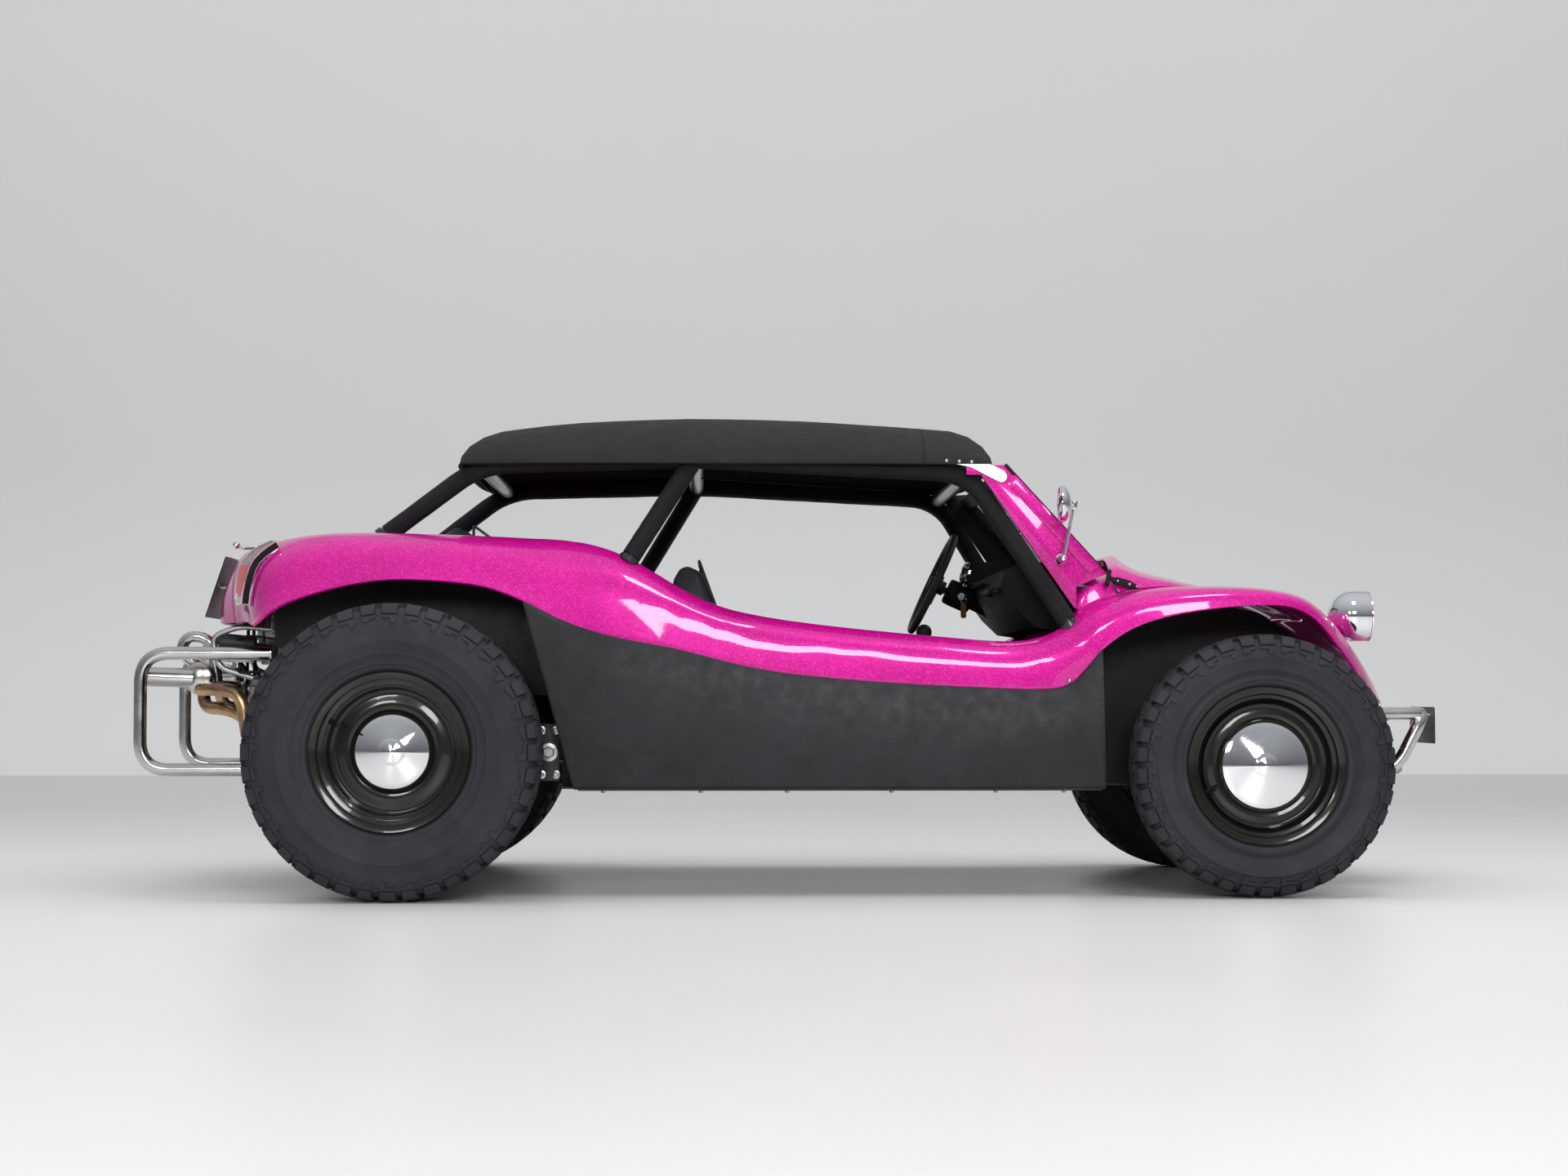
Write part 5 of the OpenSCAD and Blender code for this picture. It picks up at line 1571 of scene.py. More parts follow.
    def build_lever(self) -> None:
        """Build the gear lever with its pleated boot and its knob."""
        foot, knob = DATUM.at(*self.lever_foot), DATUM.at(*self.knob_at)
        axis = (knob - foot).normalized()
        place = facing(foot, axis)
        tall = (knob - foot).length
        shape = Shape().lathe([(1e-4, 0.01), (0.0062, 0.01), (0.0055, tall - 0.02),
                               (1e-4, tall - 0.02)], place, 16)
        self.piece("lever_rod", shape, CHROME, replaces=["gear_lever"])
        pleats = [(0.043, 0.0)]
        for k in range(7):
            r = 0.04 - 0.0046 * k
            pleats += [(r, 0.004 + 0.011 * k), (r - 0.006, 0.0095 + 0.011 * k)]
        boot = Shape().lathe([(1e-4, 0.0), *pleats, (1e-4, 0.085)],
                             facing(foot, Vector((0, 0, 1)) * 0.6 + axis * 0.4), 32)
        self.piece("lever_boot", boot, RUBBER)
        ball = Shape().lathe([(1e-4, -0.024), (0.011, -0.0225), *arc((0, 0), 0.0237, -55, 84, 14),
                              (1e-4, 0.0236)],
                             facing(knob, axis), 32)
        self.piece("lever_knob", ball, RUBBER)

    def build_seats(self) -> None:
        """Build the front seats and the rear bench."""
        floor = 0.3063
        for node, side in (("driver_seat", LEFT), ("passenger_seat", RIGHT)):
            Seat(node, (-0.19, 0.318 * side, floor), 0.44, 0.44, 0.555, 20, 0.235, 0.11).build()
        Seat("rear_seat", (-0.995, 0, 0.5663), 1.04, 0.33, 0.47, 3, 0.13, 0.11, channels=5).build()

    def build(self) -> None:
        """Build the whole cockpit."""
        self.build_dash()
        self.build_column()
        self.build_wheel()
        self.build_lever()
        self.build_seats()


# ---- lamps, mirrors, latches and plates ----

@dataclass
class Lamps(Assembly):
    """The headlamps and the tail lamps."""

    head_at: Point = (1.501, 0.47, 0.787)
    head_r: float = 0.073
    tail_bounds: tuple[float, float] = (0.835, 0.925)

    def build_head(self, side: int) -> None:
        """Build one headlamp: bullet, bezel, reflector, bulb and lens on its stalk."""
        name = SIDE_NAMES[side]
        at = DATUM.at(self.head_at[0], self.head_at[1] * side, self.head_at[2])
        place = facing(at, Vector((1, 0, 0)))
        r = self.head_r
        back = [(1e-4, 0.01 - r)] + [(max(x, 1e-4), y) for x,
                                     y in arc((0, 0.01), r - 0.0005, -86, 0, 16)]
        bullet = back + [(r - 0.0005, 0.044), (r - 0.003, 0.0455), (r - 0.003, 0.051),
                         (r - 0.0005, 0.052),
                         (r - 0.0002, 0.0545), (r - 0.004, 0.0548), (r - 0.0075, 0.052),
                         (r - 0.0075, 0.044)]
        inner = [(r - 0.0085, 0.03), (r - 0.02, 0.008), (r - 0.045, -0.012), (1e-4, -0.02)]
        self.piece(name + "_lamp_bullet", Shape().lathe(bullet + inner, place, 72), CHROME,
                   replaces=[name + "_headlamp"])
        lens = [(1e-4, 0.0542), (0.02, 0.0538), (0.045, 0.0515), (r - 0.0085, 0.0475),
                (r - 0.0085, 0.0445),
                (0.045, 0.0485), (0.02, 0.0508), (1e-4, 0.0512)]
        self.piece(name + "_lamp_lens", Shape().lathe(lens, place, 56), GLASS)
        bulb = Shape().lathe([(1e-4, 0.024), (0.005, 0.022), (0.007, 0.016), (0.005, 0.008),
                              (0.005, -0.02), (1e-4, -0.02)],
                             place, 20)
        self.piece(name + "_lamp_bulb", bulb, SILVERED)
        stalk = Shape().ball(at + Vector((-0.012, 0, 0.0045 - r)), 0.0138)
        stalk.lathe([(1e-4, -0.003), (0.018, -0.003), (0.018, 0.001), (0.012, 0.004),
                     (1e-4, 0.004)],
                    facing(at + Vector((-0.012, 0, -0.0095 - r)), Vector((0.35, 0, 1))), 24)
        self.piece(name + "_lamp_stalk", stalk, CHROME)

    def build_tails(self) -> None:
        """Build the tail lamps: one lens each in clear, red and amber, in a chrome rim."""
        obj = self.smoothed("tail_lamps", "tail_lamp_lenses", RED, levels=2, edge=0.001)
        obj.data.materials.append(AMBER.material())
        obj.data.materials.append(CLEAR.material())
        low, high = self.tail_bounds
        obj.data.materials.append(RUBBER.material())
        for p in obj.data.polygons:
            side_on = abs(p.normal.y) > 0.55 and p.normal.z < 0.6
            p.material_index = 3 if side_on else 2 if p.center.z < low else 1 if p.center.z > high else 0
        rim = Shape()
        for loop in rim_loops("tail_lamps", 60):
            rim.tube(loop, 0.0026, 8, loop=True)
        self.piece("tail_lamp_rims", rim, CHROME)

    def build(self) -> None:
        """Build all the lamps."""
        for side in (LEFT, RIGHT):
            self.build_head(side)
        self.build_tails()


def rim_loops(node: str, sharp: float) -> list[list[Vector]]:
    """Return the chains of a CAD node's edges that are sharper than an angle in degrees."""
    mesh = bpy.data.meshes.new(node + "_rims")
    verts, faces = facets(node)
    mesh.from_pydata([tuple(v) for v in verts], [], faces)
    bm = bmesh.new()
    bm.from_mesh(mesh)
    bpy.data.meshes.remove(mesh)
    chosen = [e for e in bm.edges if len(e.link_faces) == 2 and e.calc_face_angle() > math.radians(sharp)]
    links: dict[int, list[int]] = {}
    for e in chosen:
        a, b = (v.index for v in e.verts)
        links.setdefault(a, []).append(b)
        links.setdefault(b, []).append(a)
    loops, seen = [], set()
    for start in links:
        if start in seen:
            continue
        chain, at = [start], start
        seen.add(start)
        while True:
            ahead = [k for k in links[at] if k not in seen]
            if not ahead:
                break
            at = ahead[0]
            seen.add(at)
            chain.append(at)
        if len(chain) > 8:
            loops.append(chain)
    bm.verts.ensure_lookup_table()
    found = [[bm.verts[k].co.copy() for k in chain] for chain in loops]
    bm.free()
    return found


def cut_loops(mesh: bpy.types.Mesh, x: float) -> list[list[Vector]]:
    """Return the closed outlines where a mesh is cut by an upright plane across the car at x."""
    bm = bmesh.new()
    bm.from_mesh(mesh)
    made = bmesh.ops.bisect_plane(bm, geom=bm.verts[:] + bm.edges[:] + bm.faces[:],
                                  plane_co=(x, 0, 0),
                                  plane_no=(1, 0, 0))
    edges = {e for e in made["geom_cut"] if isinstance(e, bmesh.types.BMEdge)}
    loops = []
    while edges:
        first = edges.pop()
        chain, at = [first.verts[0]], first.verts[1]
        while at is not chain[0]:
            chain.append(at)
            ahead = next((e for e in at.link_edges if e in edges), None)
            if ahead is None:
                break
            edges.discard(ahead)
            at = ahead.other_vert(at)
        if len(chain) > 8:
            loops.append([v.co.copy() for v in chain])
    bm.free()
    return loops


@dataclass
class Fittings(Assembly):
    """Mirrors, hood latches, plates and the plate lamp."""

    mirror_base: Point = (0.655, 0.594, 0.943)
    mirror_head: Point = (0.685, 0.655, 1.092)
    mirror_glass: Point = (0.65, 0.69, 1.092)
    mirror_r: float = 0.052
    latch_out: Point = (0.177, 0.945, 0.277)

    def build_mirrors(self) -> None:
        """Build the mirrors: clamp, rod, ball joint, bowl and glass."""
        def rods(shape: Shape) -> None:
            """Add the rods of one mirror."""
            base, head = DATUM.at(*self.mirror_base), DATUM.at(*self.mirror_head)
            knee = DATUM.at(self.mirror_base[0], 0.65, self.mirror_base[2])
            glass = DATUM.at(*self.mirror_glass)
            shape.lathe([(1e-4, 0.0), (0.0155, 0.0), (0.0155, 0.004), (0.011, 0.007),
                         (0.0085, 0.012), (0.0085, 0.052),
                         (1e-4, 0.052)], facing(base, Vector((0, 1, 0))), 24)
            shape.ball(knee, 0.0098)
            shape.tube([knee, head + (head - knee).normalized() * 0.012], 0.0048, 16)
            shape.lathe([(1e-4, -0.012), (0.0085, -0.012), (0.0095, -0.008), (0.0095, 0.008),
                         (0.0085, 0.012), (1e-4, 0.012)],
                        facing(head, (head - knee).normalized()), 20)
            shape.tube([head, glass + Vector((0.004, 0, 0))], 0.0046, 14)
            shape.bolt(head + Vector((0, 0.009, 0)), Vector((0, 1, 0)), 0.005, 0.004)
        self.piece("mirror_rods", Shape().both(rods), CHROME, replaces=["mirrors"])

        def bowls(shape: Shape) -> None:
            """Add the bowl of one mirror."""
            x, y, z = self.mirror_glass
            r = self.mirror_r
            place = facing(DATUM.at(x + 0.006, y, z), Vector((-1, 0, 0)))
            shape.lathe([(1e-4, -0.0155), (0.02, -0.0145), (0.038, -0.0085), (r - 0.002, 0.002),
                         (r, 0.008),
                         (r, 0.0145), (r - 0.0025, 0.0162), (r - 0.005, 0.0145),
                         (r - 0.005, 0.0125), (1e-4, 0.0125)],
                        place, 48)
        self.piece("mirror_bowls", Shape().both(bowls), CHROME)

        def glasses(shape: Shape) -> None:
            """Add the glass of one mirror."""
            x, y, z = self.mirror_glass
            place = facing(DATUM.at(x + 0.006, y, z), Vector((-1, 0, 0)))
            shape.lathe([(1e-4, 0.0127), (self.mirror_r - 0.0055, 0.0127),
                         (self.mirror_r - 0.0055, 0.0137),
                         (1e-4, 0.0139)], place, 48)
        self.piece("mirror_glasses", Shape().both(glasses), SILVERED)

    def build_latches(self) -> None:
        """Build the rubber T-handle latches: handle, strap, catch and their screws."""
        low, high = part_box("hood_latches")
        spot = Vector(((low.x + high.x) / 2 - 0.03, high.y - 0.009, (low.z + high.z) / 2 + 0.004))
        place = facing(spot, Vector(self.latch_out), Vector((1, 0, -0.22)))

        def rubber(shape: Shape) -> None:
            """Add the rubber of one latch."""
            grip = [place @ Vector((-0.047, y, 0.012)) for y in (-0.019, 0.0, 0.019)]
            shape.tube(grip, 0.0065, 14).ball(grip[0], 0.0072).ball(grip[2], 0.0072)
            rows = []
            for x, half, top in ((-0.047, 0.006, 0.014), (-0.03, 0.006, 0.013),
                                 (-0.02, 0.0105, 0.011), (0.018, 0.0105, 0.009),
                                 (0.03, 0.0065, 0.0085), (0.042, 0.005, 0.006)):
                rows.append([place @ Vector(p) for p in ((x, -half, top - 0.006),
                                                         (x, half, top - 0.006), (x, half, top),
                                                         (x, -half, top))])
            shape.grid(rows, ring=True, caps=True)
            shape.prism(rounded(0.062, 0.018, 0.006), 0.006,
                        place @ Matrix.Translation((0.002, 0, -0.001)), 0.0012)
        self.piece("latch_straps", Shape().both(rubber), RUBBER, "hood", ["hood_latches"])

        def screws(shape: Shape) -> None:
            """Add the screws and the hook of one latch."""
            for x in (-0.017, 0.019):
                shape.screw(place @ Vector((x, 0, 0.0095)), place.to_3x3() @ Vector((0, 0, 1)),
                            0.0042)
            hook = [place @ Vector(p) for p in ((0.036, 0, 0.002), (0.044, 0, 0.008),
                                                (0.05, 0, 0.004))]
            shape.tube(hook, 0.0035, 10)
        self.piece("latch_screws", Shape().both(screws), FASTENER, "hood")

    def plate(self, name: str, node: str, body: str, place: Matrix, width: float,
              height: float) -> None:
        """Build one blank plate with round corners, a raised border and its bolts.

        Args:
            name: The piece's name.
            node: The CAD node that it stands for.
            body: The body that it rides on.
            place: Matrix with Z out of the plate's face, X along its height.
            width: Width across the car.
            height: Height.
        """
        shape = Shape().prism(rounded(height, width, 0.011), 0.0022,
                              place @ Matrix.Translation((0, 0, -0.0011)), 0.0006)
        obj = self.piece(name, shape, BLANK, body, [node])
        obj.data.materials.append(CHASSIS.material())
        out = place.to_3x3() @ Vector((0, 0, 1))
        for p in obj.data.polygons:
            p.material_index = 1 if p.normal.dot(out) < -0.5 else 0
        ring = [place @ Vector((x, y, 0.0012)) for x,
                y in rounded(height - 0.014, width - 0.014, 0.009, 6)]
        self.piece(name + "_border", Shape().tube(ring, 0.0011, 6, loop=True), BLANK, body)
        bolts = Shape()
        for y in (-0.08, 0.08):
            bolts.bolt(place @ Vector((height * 0.27, y, 0.0011)),
                       place.to_3x3() @ Vector((0, 0, 1)), 0.0055, 0.004)
        self.piece(name + "_bolts", bolts, FASTENER, body)

    def build_plates(self) -> None:
        """Build both plates with their standoffs, and the lamp over the rear one."""
        low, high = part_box("front_plate")
        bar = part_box("front_bumper")[1].x
        at = Vector((high.x - 0.0068, 0, 0.47))
        self.plate("front_plate_blank", "front_plate", "body", facing(at, Vector((1, 0, 0))), 0.3,
                   0.11)
        shape = Shape()
        for y in (-0.08, 0.08):
            shape.tube([Vector((bar - 0.012, y, 0.5)), Vector((high.x - 0.003, y, 0.5))], 0.006, 14)
        self.piece("front_plate_standoffs", shape, FASTENER)
        low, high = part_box("rear_plate")
        tilt = math.radians(18)
        half = 0.095
        x = low.x + half * math.sin(tilt) + 0.0015 * math.cos(tilt)
        z = (low.z + high.z) / 2
        out = Vector((-math.cos(tilt), 0, math.sin(tilt)))
        place = facing(Vector((x, 0, z)), out)
        self.plate("rear_plate_blank", "rear_plate", "engine_lid", place, 0.3, 0.19)
        shape = Shape()
        for y in (-0.06, 0.06):
            shape.tube([Vector((x + 0.002, y, z)), Vector((x + 0.045, y, z))], 0.0055, 14)
        self.piece("rear_plate_standoffs", shape, FASTENER, "engine_lid")
        lamp = Shape()
        top = Vector((x + 0.0455, 0, z + 0.1285))
        lamp.tube([top + Vector((0, -0.05, 0)), top + Vector((0, 0.05, 0))], 0.0115, 20)
        lamp.ball(top + Vector((0, -0.05, 0)), 0.0115).ball(top + Vector((0, 0.05, 0)), 0.0115)
        lamp.slab(top + Vector((0.004, -0.018, -0.012)), top + Vector((0.05, 0.018, -0.003)), 0.002)
        self.piece("plate_lamp", lamp, CHROME)

    def build(self) -> None:
        """Build all the fittings."""
        self.build_mirrors()
        self.build_latches()
        self.build_plates()


# ---- bumpers, engine and axles ----

@dataclass
class Bumpers(Assembly):
    """The bent tube bumpers with their clamps."""

    r: float = 0.019
    front_x: float = 1.772
    rear_x: float = -1.979
    beam_z: float = 0.29

    def build_front(self) -> None:
        """Build the front bumper."""
        x, y = self.front_x, 0.25
        hoop = [(1.39, y, self.beam_z), (1.5, y, self.beam_z), (1.69, y, 0.345), (x, y, 0.505),
                (x, 0.08, 0.505), (x, 0.0, 0.505)]
        half = curved(DATUM.route(hoop), 0.055, 9)
        shape = Shape().tube(half + [Vector((p.x, -p.y, p.z)) for p in reversed(half[:-1])], self.r,
                             24)
        shape.tube(DATUM.route([(1.69, -y, 0.345), (1.69, y, 0.345)]), self.r - 0.002, 20)
        shape.both(lambda made: made.tube(curved(DATUM.route([(1.6, y, 0.503), (x - 0.03, y, 0.505),
                                                              (x - 0.001, y - 0.03, 0.505)]),
                                                 0.03), self.r - 0.0015, 20))
        self.piece("front_bumper_tubes", shape, STAINLESS, replaces=["front_bumper"])

    def build_rear(self) -> None:
        """Build the rear bumper: two hoops joined by one low cross tube."""
        x, y = self.rear_x, 0.34

        def hoop(shape: Shape) -> None:
            """Add one hoop with its end flanges."""
            shape.tube(curved(DATUM.route([(-1.6, y, 0.681), (x, y, 0.681), (x, y, 0.345),
                                           (-1.6, y, 0.345)]), 0.085, 12),
                       self.r, 24)
            for z in (0.681, 0.345):
                at = DATUM.at(-1.6, y, z)
                shape.lathe([(1e-4, -0.002), (0.024, -0.002), (0.026, 0.0), (0.026, 0.005),
                             (0.0195, 0.007), (1e-4, 0.007)],
                            facing(at, Vector((-1, 0, 0))), 28)
        shape = Shape().both(hoop)
        shape.tube(DATUM.route([(-1.64, -y, 0.345), (-1.64, y, 0.345)]), self.r - 0.002, 20)
        self.piece("rear_bumper_tubes", shape, STAINLESS, replaces=["rear_bumper"])

    def build(self) -> None:
        """Build both bumpers."""
        self.build_front()
        self.build_rear()


@dataclass
class Engine(Assembly):
    """The flat air-cooled engine with its fan housing, fins, covers, filters and pulleys."""

    low: float = 0.3623

    def build_case(self) -> None:
        """Build the crankcase with its ribs, sump plate and bolts."""
        shape = Shape()
        a, b = DATUM.at(-1.7, -0.15, self.low + 0.012), DATUM.at(-1.4, 0.15, 0.62)
        shape.slab(a, b, 0.014)
        for k in range(9):
            y = -0.128 + 0.032 * k
            shape.slab((a.x + 0.02, y - 0.0025, self.low),
                       (b.x - 0.02, y + 0.0025, self.low + 0.016), 0.0008)
        for k in range(6):
            z = 0.42 + 0.03 * k
            shape.slab((a.x - 0.004, -0.12, z), (a.x + 0.004, 0.12, z + 0.005), 0.0012)
        self.piece("engine_case", shape, CAST, replaces=["engine"])
        bolts = Shape()
        for y in (-0.11, -0.04, 0.04, 0.11):
            for z in (0.4, 0.58):
                bolts.bolt(Vector((a.x - 0.0005, y, z)), Vector((-1, 0, 0)), 0.008, 0.007)
        self.piece("engine_bolts", bolts, FASTENER)

    def build_banks(self) -> None:
        """Build both banks of finned barrels and heads with their covers."""
        def fins(shape: Shape) -> None:
            """Add the fins of one cylinder bank."""
            for x in (-1.605, -1.5):
                for k in range(15):
                    y = 0.158 + 0.0105 * k
                    place = facing(DATUM.at(x, y, 0.51), Vector((0, 1, 0)))
                    r = 0.052 if k < 9 else 0.055
                    shape.lathe([(0.036, 0), (r, 0), (r, 0.0028), (0.036, 0.0028)], place, 28,
                                closed=True)
                shape.lathe([(1e-4, 0.148), (0.0375, 0.148), (0.0375, 0.318), (1e-4, 0.318)],
                            facing(DATUM.at(x, 0, 0.51), Vector((0, 1, 0))), 28)
            for k in range(4):
                low = DATUM.at(-1.655, 0.315 + 0.011 * k, 0.438)
                high = DATUM.at(-1.445, 0.3195 + 0.011 * k, 0.582)
                shape.slab(low, high, 0.0012)
            shape.slab(DATUM.at(-1.645, 0.31, 0.45), DATUM.at(-1.455, 0.362, 0.57), 0.004)
        self.piece("engine_barrels", Shape().both(fins), CAST)

        def covers(shape: Shape) -> None:
            """Add the cover of one cylinder bank."""
            outline = rounded(0.12, 0.205, 0.03, 5)
            place = facing(DATUM.at(-1.55, 0.36, 0.51), Vector((0, 1, 0)))
            shape.prism(outline, 0.038, place, 0.008)
            shape.tube([DATUM.at(-1.63, 0.372, 0.575), DATUM.at(-1.61, 0.4015, 0.51),
                        DATUM.at(-1.49, 0.4015, 0.51),
                        DATUM.at(-1.47, 0.372, 0.575)], 0.0022, 8)
        self.piece("valve_covers", Shape().both(covers), CHROME)

    def build_cooling(self) -> None:
        """Build the fan housing, the fan's drum and blades, and the tinware over the barrels."""
        shape = Shape()
        outline = [(-0.25, 0.0), (0.25, 0.0), (0.25, 0.1),
                   *[(0.115 + 0.1 * math.cos(t), 0.135 + 0.1 * math.sin(t)) for t in
                   (math.radians(10 + 16 * k) for k in range(6))], (0.0, 0.2385),
                   *[(-0.115 + 0.1 * math.cos(t), 0.135 + 0.1 * math.sin(t)) for t in
                     (math.radians(90 + 16 * k) for k in range(6))], (-0.25, 0.1)]
        base = DATUM.at(-1.455, 0, 0.6215)
        place = Matrix.Translation(base) @ Matrix(((0, 0, -1, 0), (1, 0, 0, 0), (0, 1, 0, 0),
                                                   (0, 0, 0, 1)))
        shape.prism(outline, 0.14, place, 0.012)
        for s in (LEFT, RIGHT):
            shape.slab(DATUM.at(-1.652, min(s * 0.155, s * 0.385), 0.583),
                       DATUM.at(-1.448, max(s * 0.155, s * 0.385), 0.5895),
                       0.002)
        self.piece("fan_housing", shape, SHEET)
        drum = facing(DATUM.at(-1.6, 0, 0.76), Vector((-1, 0, 0)))
        metal = Shape().lathe([(0.07, -0.004), (0.07, 0.062), (0.068, 0.064), (0.062, 0.064),
                               (0.062, 0.006), (1e-4, 0.006),
                               (1e-4, -0.004)], drum, 48)
        for k in range(24):
            turn = drum @ Matrix.Rotation(2 * math.pi * k / 24, 4, "Z")
            metal.prism([(0.028, -0.001), (0.06, -0.009), (0.061, -0.007), (0.028, 0.001)], 0.05,
                        turn @ Matrix.Translation((0, 0, 0.007)))
        self.piece("fan", metal, CAST)

    def build_front_drive(self) -> None:
        """Build the pulleys, the belt and the generator."""
        axis = Vector((-1, 0, 0))
        pulley, top = facing(DATUM.at(-1.712, 0, 0.52), axis), facing(DATUM.at(-1.665, 0, 0.76),
                                                                      axis)
        groove = [(1e-4, -0.012), (0.084, -0.012), (0.084, 0.002), (0.076, 0.007), (0.084, 0.012),
                  (0.084, 0.0255),
                  (0.06, 0.027), (0.03, 0.02), (1e-4, 0.02)]
        shape = Shape().lathe(groove, pulley, 48)
        shape.lathe([(x * 0.62 if x > 0.001 else x, y) for x, y in groove], top, 40)
        shape.bolt(pulley @ Vector((0, 0, 0.02)), axis, 0.013, 0.009)
        shape.bolt(top @ Vector((0, 0, 0.02)), axis, 0.01, 0.008)
        for k in range(16):
            t = 2 * math.pi * k / 16
            shape.screw(pulley @ Vector((0.07 * math.cos(t), 0.07 * math.sin(t), 0.0262)), axis,
                        0.004)
        self.piece("pulleys", shape, CAST)
        generator = Shape().lathe([(1e-4, -0.13), (0.045, -0.13), (0.049, -0.125), (0.049, -0.005),
                                   (0.044, 0.002),
                                   (1e-4, 0.002)], top, 40)
        generator.slab(DATUM.at(-1.65, -0.05, 0.62), DATUM.at(-1.58, 0.05, 0.725), 0.008)
        self.piece("generator", generator, FORGED)
        path = []
        for centre, r, start, end in (((0.52), 0.079, 180, 360), ((0.76), 0.0485, 0, 180)):
            for k in range(13):
                t = math.radians(start + (end - start) * k / 12)
                path.append(DATUM.at(-1.7185, r * math.cos(t), centre + r * math.sin(t)))
        self.piece("fan_belt", Shape().tube(path, 0.0052, 8, loop=True), RUBBER)

    def build_intake(self) -> None:
        """Build the twin carburettors with their round filters."""
        def intake(shape: Shape) -> None:
            """Add the intake of one cylinder bank."""
            at = DATUM.at(-1.55, 0.31, 0.59)
            shape.tube(curved([at, at + Vector((0, 0.004, 0.05)), at + Vector((0, 0.0, 0.085))],
                              0.02), 0.021, 18)
            shape.slab(at + Vector((-0.035, -0.03, 0.07)), at + Vector((0.035, 0.03, 0.135)), 0.006)
            shape.lathe([(0.03, 0.135), (0.02, 0.14), (0.02, 0.15)], Matrix.Translation(at), 24)
        self.piece("carburettors", Shape().both(intake), CAST)

        def filters(shape: Shape) -> None:
            """Add one air filter."""
            place = Matrix.Translation(DATUM.at(-1.55, 0.31, 0.738))
            shape.lathe([(1e-4, 0.0), (0.058, 0.0), (0.06, 0.003), (0.06, 0.008), (0.055, 0.01),
                         (0.055, 0.05), (0.06, 0.052),
                         (0.06, 0.058), (0.056, 0.061), (0.02, 0.062), (1e-4, 0.062)], place, 40)
            for k in range(40):
                turn = place @ Matrix.Rotation(2 * math.pi * k / 40, 4, "Z")
                shape.prism([(0.054, -0.0012), (0.0578, -0.0006), (0.0578, 0.0006),
                             (0.054, 0.0012)], 0.04,
                            turn @ Matrix.Translation((0, 0, 0.0105)))
        self.piece("air_filters", Shape().both(filters), STAINLESS)

    def build_dress(self) -> None:
        """Build the coil, the lead and fuel hoses and the lid's support frame."""
        coil = Shape().lathe([(1e-4, 0.0), (0.024, 0.0), (0.026, 0.004), (0.026, 0.1),
                              (0.018, 0.106), (0.009, 0.109), (0.009, 0.13),
                              (1e-4, 0.13)], facing(DATUM.at(-1.66, -0.27, 0.705),
                                                    Vector((-1, 0, 0.1))), 28)
        self.piece("ignition_coil", coil, FORGED)

        def frame_bars(shape: Shape) -> None:
            """Add the bracket bars of one side."""
            shape.tube(curved(DATUM.route([(-1.66, 0.31, 0.61), (-1.76, 0.31, 0.64),
                                           (-1.78, 0.31, 0.73), (-1.7, 0.31, 0.76),
                                           (-1.6, 0.31, 0.75)]), 0.03), 0.0085, 12)
            shape.slab(DATUM.at(-1.735, 0.285, 0.655), DATUM.at(-1.655, 0.3, 0.7), 0.003)
            for k in range(3):
                shape.bolt(DATUM.at(-1.725 + 0.03 * k, 0.3, 0.677), Vector((0, 1, 0)), 0.006, 0.006)
        self.piece("engine_brackets", Shape().both(frame_bars), CAST)

        def hoses(shape: Shape) -> None:
            """Add the hoses of one side."""
            shape.tube(curved(DATUM.route([(-1.62, 0.3, 0.7), (-1.72, 0.27, 0.72),
                                           (-1.74, 0.16, 0.68), (-1.71, 0.08, 0.62)]), 0.04),
                       0.0065, 12)
            shape.tube(curved(DATUM.route([(-1.6, 0.33, 0.63), (-1.7, 0.335, 0.625),
                                           (-1.73, 0.2, 0.64), (-1.7, 0.1, 0.6)]), 0.04),
                       0.0042, 10)
            shape.tube(curved(DATUM.route([(-1.58, 0.34, 0.72), (-1.68, 0.33, 0.735),
                                           (-1.75, 0.24, 0.7), (-1.72, 0.12, 0.7)]), 0.04),
                       0.0032, 10)
        self.piece("engine_hoses", Shape().both(hoses), RUBBER)

        def arches(shape: Shape) -> None:
            """Add one exhaust arch."""
            shape.tube(curved(DATUM.route([(-1.835, 0.19, 0.64), (-1.895, 0.2, 0.685),
                                           (-1.87, 0.2, 0.738), (-1.8, 0.2, 0.722),
                                           (-1.785, 0.19, 0.6)]), 0.035), 0.0165, 18)
        self.piece("exhaust_arches", Shape().both(arches), STAINLESS)

    def build(self) -> None:
        """Build the whole engine."""
        self.build_dress()
        self.build_case()
        self.build_banks()
        self.build_cooling()
        self.build_front_drive()
        self.build_intake()


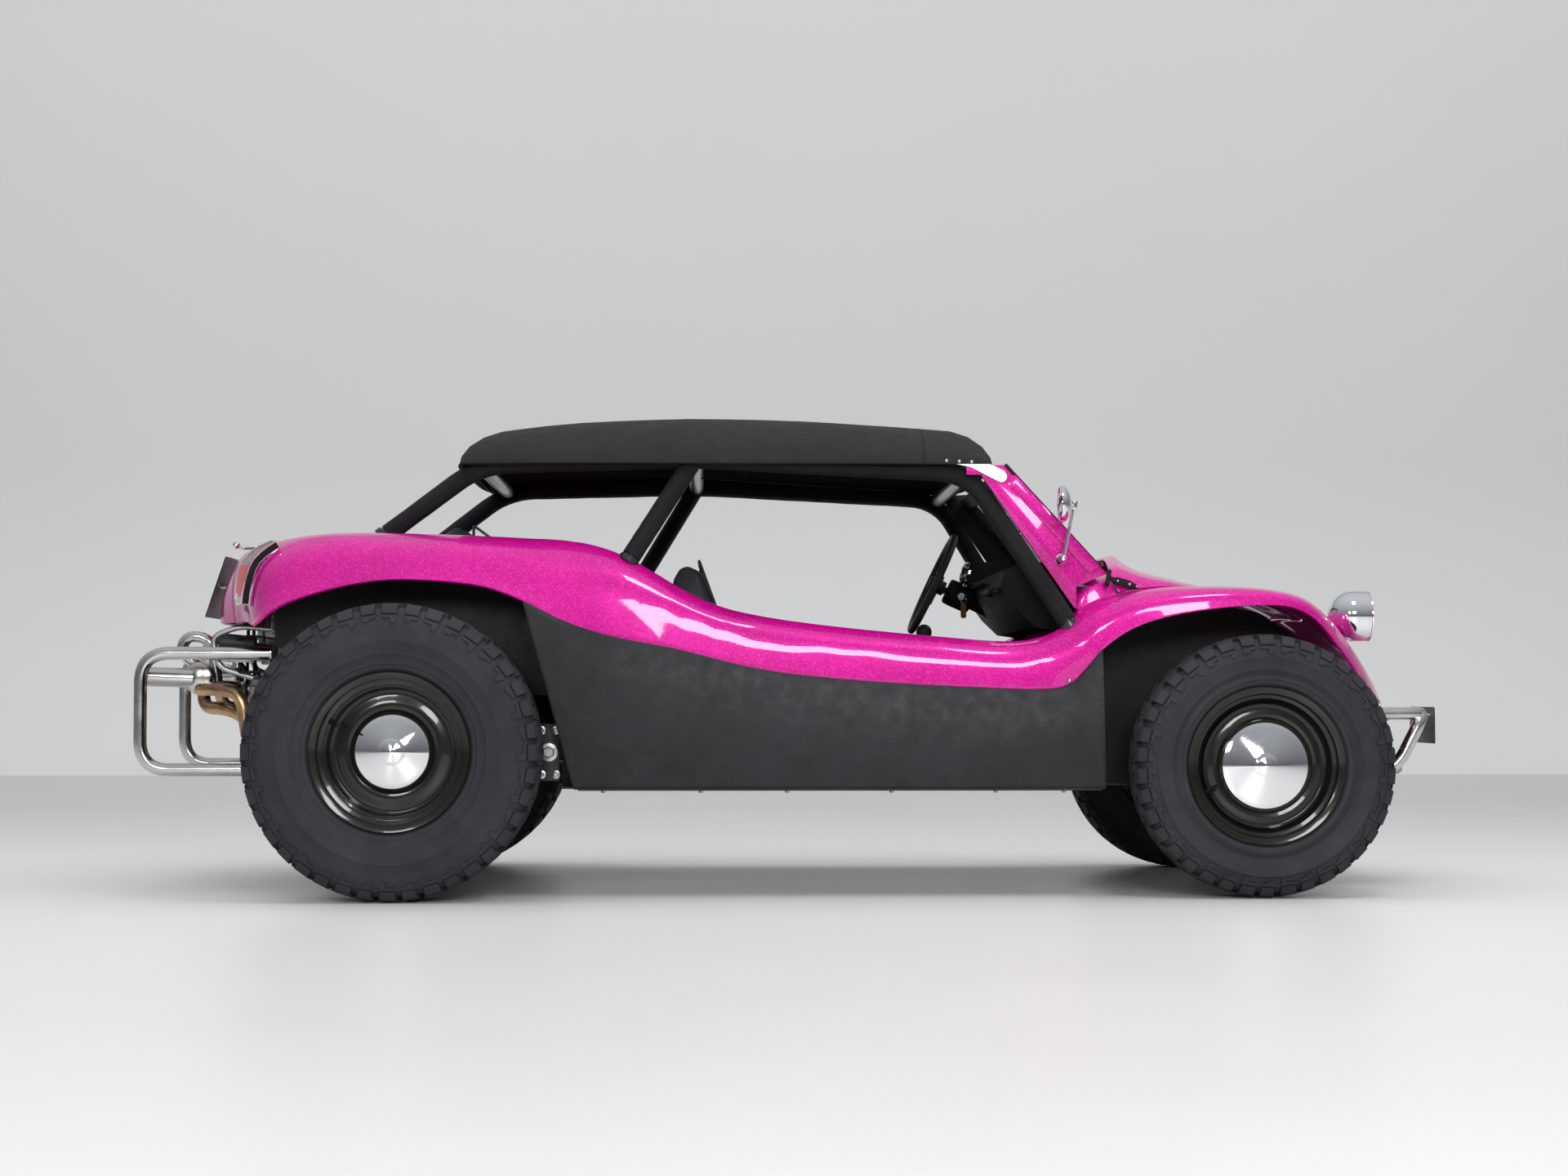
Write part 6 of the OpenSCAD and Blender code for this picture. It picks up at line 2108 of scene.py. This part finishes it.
@dataclass
class Exhaust(Assembly):
    """Four heat-tinted header pipes, the silencer and the tail pipe."""

    r: float = 0.019
    box: Point = (-1.83, 0.0, 0.61)
    tail_end: Point = (-1.978, -0.268, 0.614)

    def build(self) -> None:
        """Build the exhaust."""
        def headers(shape: Shape) -> None:
            """Add the header pipes of one side."""
            outer = [(-1.62, 0.34, 0.4297), (-1.62, 0.34, 0.402), (-1.67, 0.33, 0.42),
                     (-1.69, 0.33, 0.56), (-1.75, 0.31, 0.577),
                     (-1.845, 0.225, 0.577), (-1.845, 0.2, 0.61)]
            inner = [(-1.48, 0.25, 0.4297), (-1.48, 0.25, 0.402), (-1.63, 0.24, 0.402),
                     (-1.7, 0.235, 0.5), (-1.76, 0.215, 0.522),
                     (-1.83, 0.15, 0.522), (-1.835, 0.14, 0.6)]
            for points in (outer, inner):
                shape.tube(curved(DATUM.route(points), 0.045, 9), self.r, 22)
                x, y, z = points[0]
                shape.lathe([(1e-4, -0.006), (0.027, -0.006), (0.028, -0.005), (0.028, 0.0),
                             (1e-4, 0.0)],
                            Matrix.Translation(DATUM.at(x, y, z)), 24)
        self.piece("header_pipes", Shape().both(headers), BRONZED, replaces=["exhaust"])
        box = facing(DATUM.at(*self.box), Vector((0, 1, 0)))
        r = 0.046
        profile = [(1e-4, -0.255), (r - 0.012, -0.254), (r - 0.003, -0.249), (r, -0.24), (r, -0.18),
                   (r - 0.0015, -0.178),
                   (r - 0.0015, -0.172), (r, -0.17), (r, 0.17), (r - 0.0015, 0.172),
                   (r - 0.0015, 0.178), (r, 0.18),
                   (r, 0.24), (r - 0.003, 0.249), (r - 0.012, 0.254), (1e-4, 0.255)]
        self.piece("silencer", Shape().lathe(profile, box, 48), STAINLESS)
        start, end = DATUM.at(self.box[0] - 0.02, -0.235, self.box[2]), DATUM.at(*self.tail_end)
        along = (end - start).normalized()
        length = (end - start).length
        pipe = Shape().lathe([(0.0285, 0.0), (0.0285, length - 0.004), (0.029, length - 0.001),
                              (0.028, length),
                              (0.0265, length - 0.001), (0.0265, 0.0)], facing(start, along), 40,
                              closed=True)
        self.piece("tail_pipe", pipe, STAINLESS)


@dataclass
class Chassis(Assembly):
    """The gearbox, the axles, the front beam and the knuckles."""

    def build_rear(self) -> None:
        """Build the rear axle: the CAD node with rounded edges, gearbox ribs, boots and bolts."""
        self.softened("rear_axle", "rear_axle_castings", CHASSIS, 0.003)
        mid = Datum.middle("rear_left_tyre")
        ribs = Shape()
        for k in range(7):
            x = DATUM.at(-1.2, 0, 0).x + 0.03 + 0.045 * k
            ribs.slab((x, -0.095, mid.z - 0.094), (x + 0.006, 0.095, mid.z + 0.094), 0.002)
        self.piece("gearbox_ribs", ribs, CAST)

        def boots(shape: Shape) -> None:
            """Add one axle boot."""
            profile = [(0.031, 0.0)]
            for k in range(7):
                profile += [(0.058 - 0.0035 * k, 0.008 + 0.014 * k),
                            (0.044 - 0.002 * k, 0.015 + 0.014 * k)]
            profile += [(0.031, 0.112)]
            shape.lathe(profile, facing(Vector((mid.x, 0.1, mid.z)), Vector((0, 1, 0))), 32)
            shape.lathe(profile, facing(Vector((mid.x, mid.y - 0.12, mid.z)), Vector((0, -1, 0))),
                        32)
        self.piece("axle_boots", Shape().both(boots), RUBBER)

        def bolts(shape: Shape) -> None:
            """Add the bolts of one spring plate."""
            x = DATUM.at(-0.748, 0, 0).x - 0.0383
            y = mid.y - 0.173
            for dz in (-0.062, 0.062):
                for dx in (-0.02, 0.02):
                    shape.bolt(Vector((x + dx, y, 0.4 + dz)), Vector((0, 1, 0)), 0.008, 0.008)
            shape.bolt(Vector((x, y, 0.4)), Vector((0, 1, 0)), 0.017, 0.012)
        self.piece("spring_plate_bolts", Shape().both(bolts), FASTENER)

    def build_front(self) -> None:
        """Build the front beam and the knuckles."""
        self.softened("front_beam", "front_beam_castings", CHASSIS, 0.002)
        for side in ("left", "right"):
            body = side + "_knuckle"
            self.softened(body, side + "_knuckle_forging", FORGED, 0.002, body)

    def build(self) -> None:
        """Build the whole chassis."""
        self.build_rear()
        self.build_front()


def main() -> None:
    """Build the buggy and the studio."""
    logging.basicConfig(level=logging.INFO, format="%(name)s %(message)s")
    Studio().build()
    Bodywork().build()
    Glasshouse().build()
    Cockpit().build()
    Lamps().build()
    Fittings().build()
    Bumpers().build()
    Engine().build()
    Exhaust().build()
    Chassis().build()
    for side in (LEFT, RIGHT):
        Wheel("rear", side, 40, 0.01, 0.103, 0.055, 0.101, -62.7).build()
        Wheel("front", side, 38, 0.034, 0.121, 0.052, 0.079, -114.3).build()


if __name__ == "__main__":
    main()
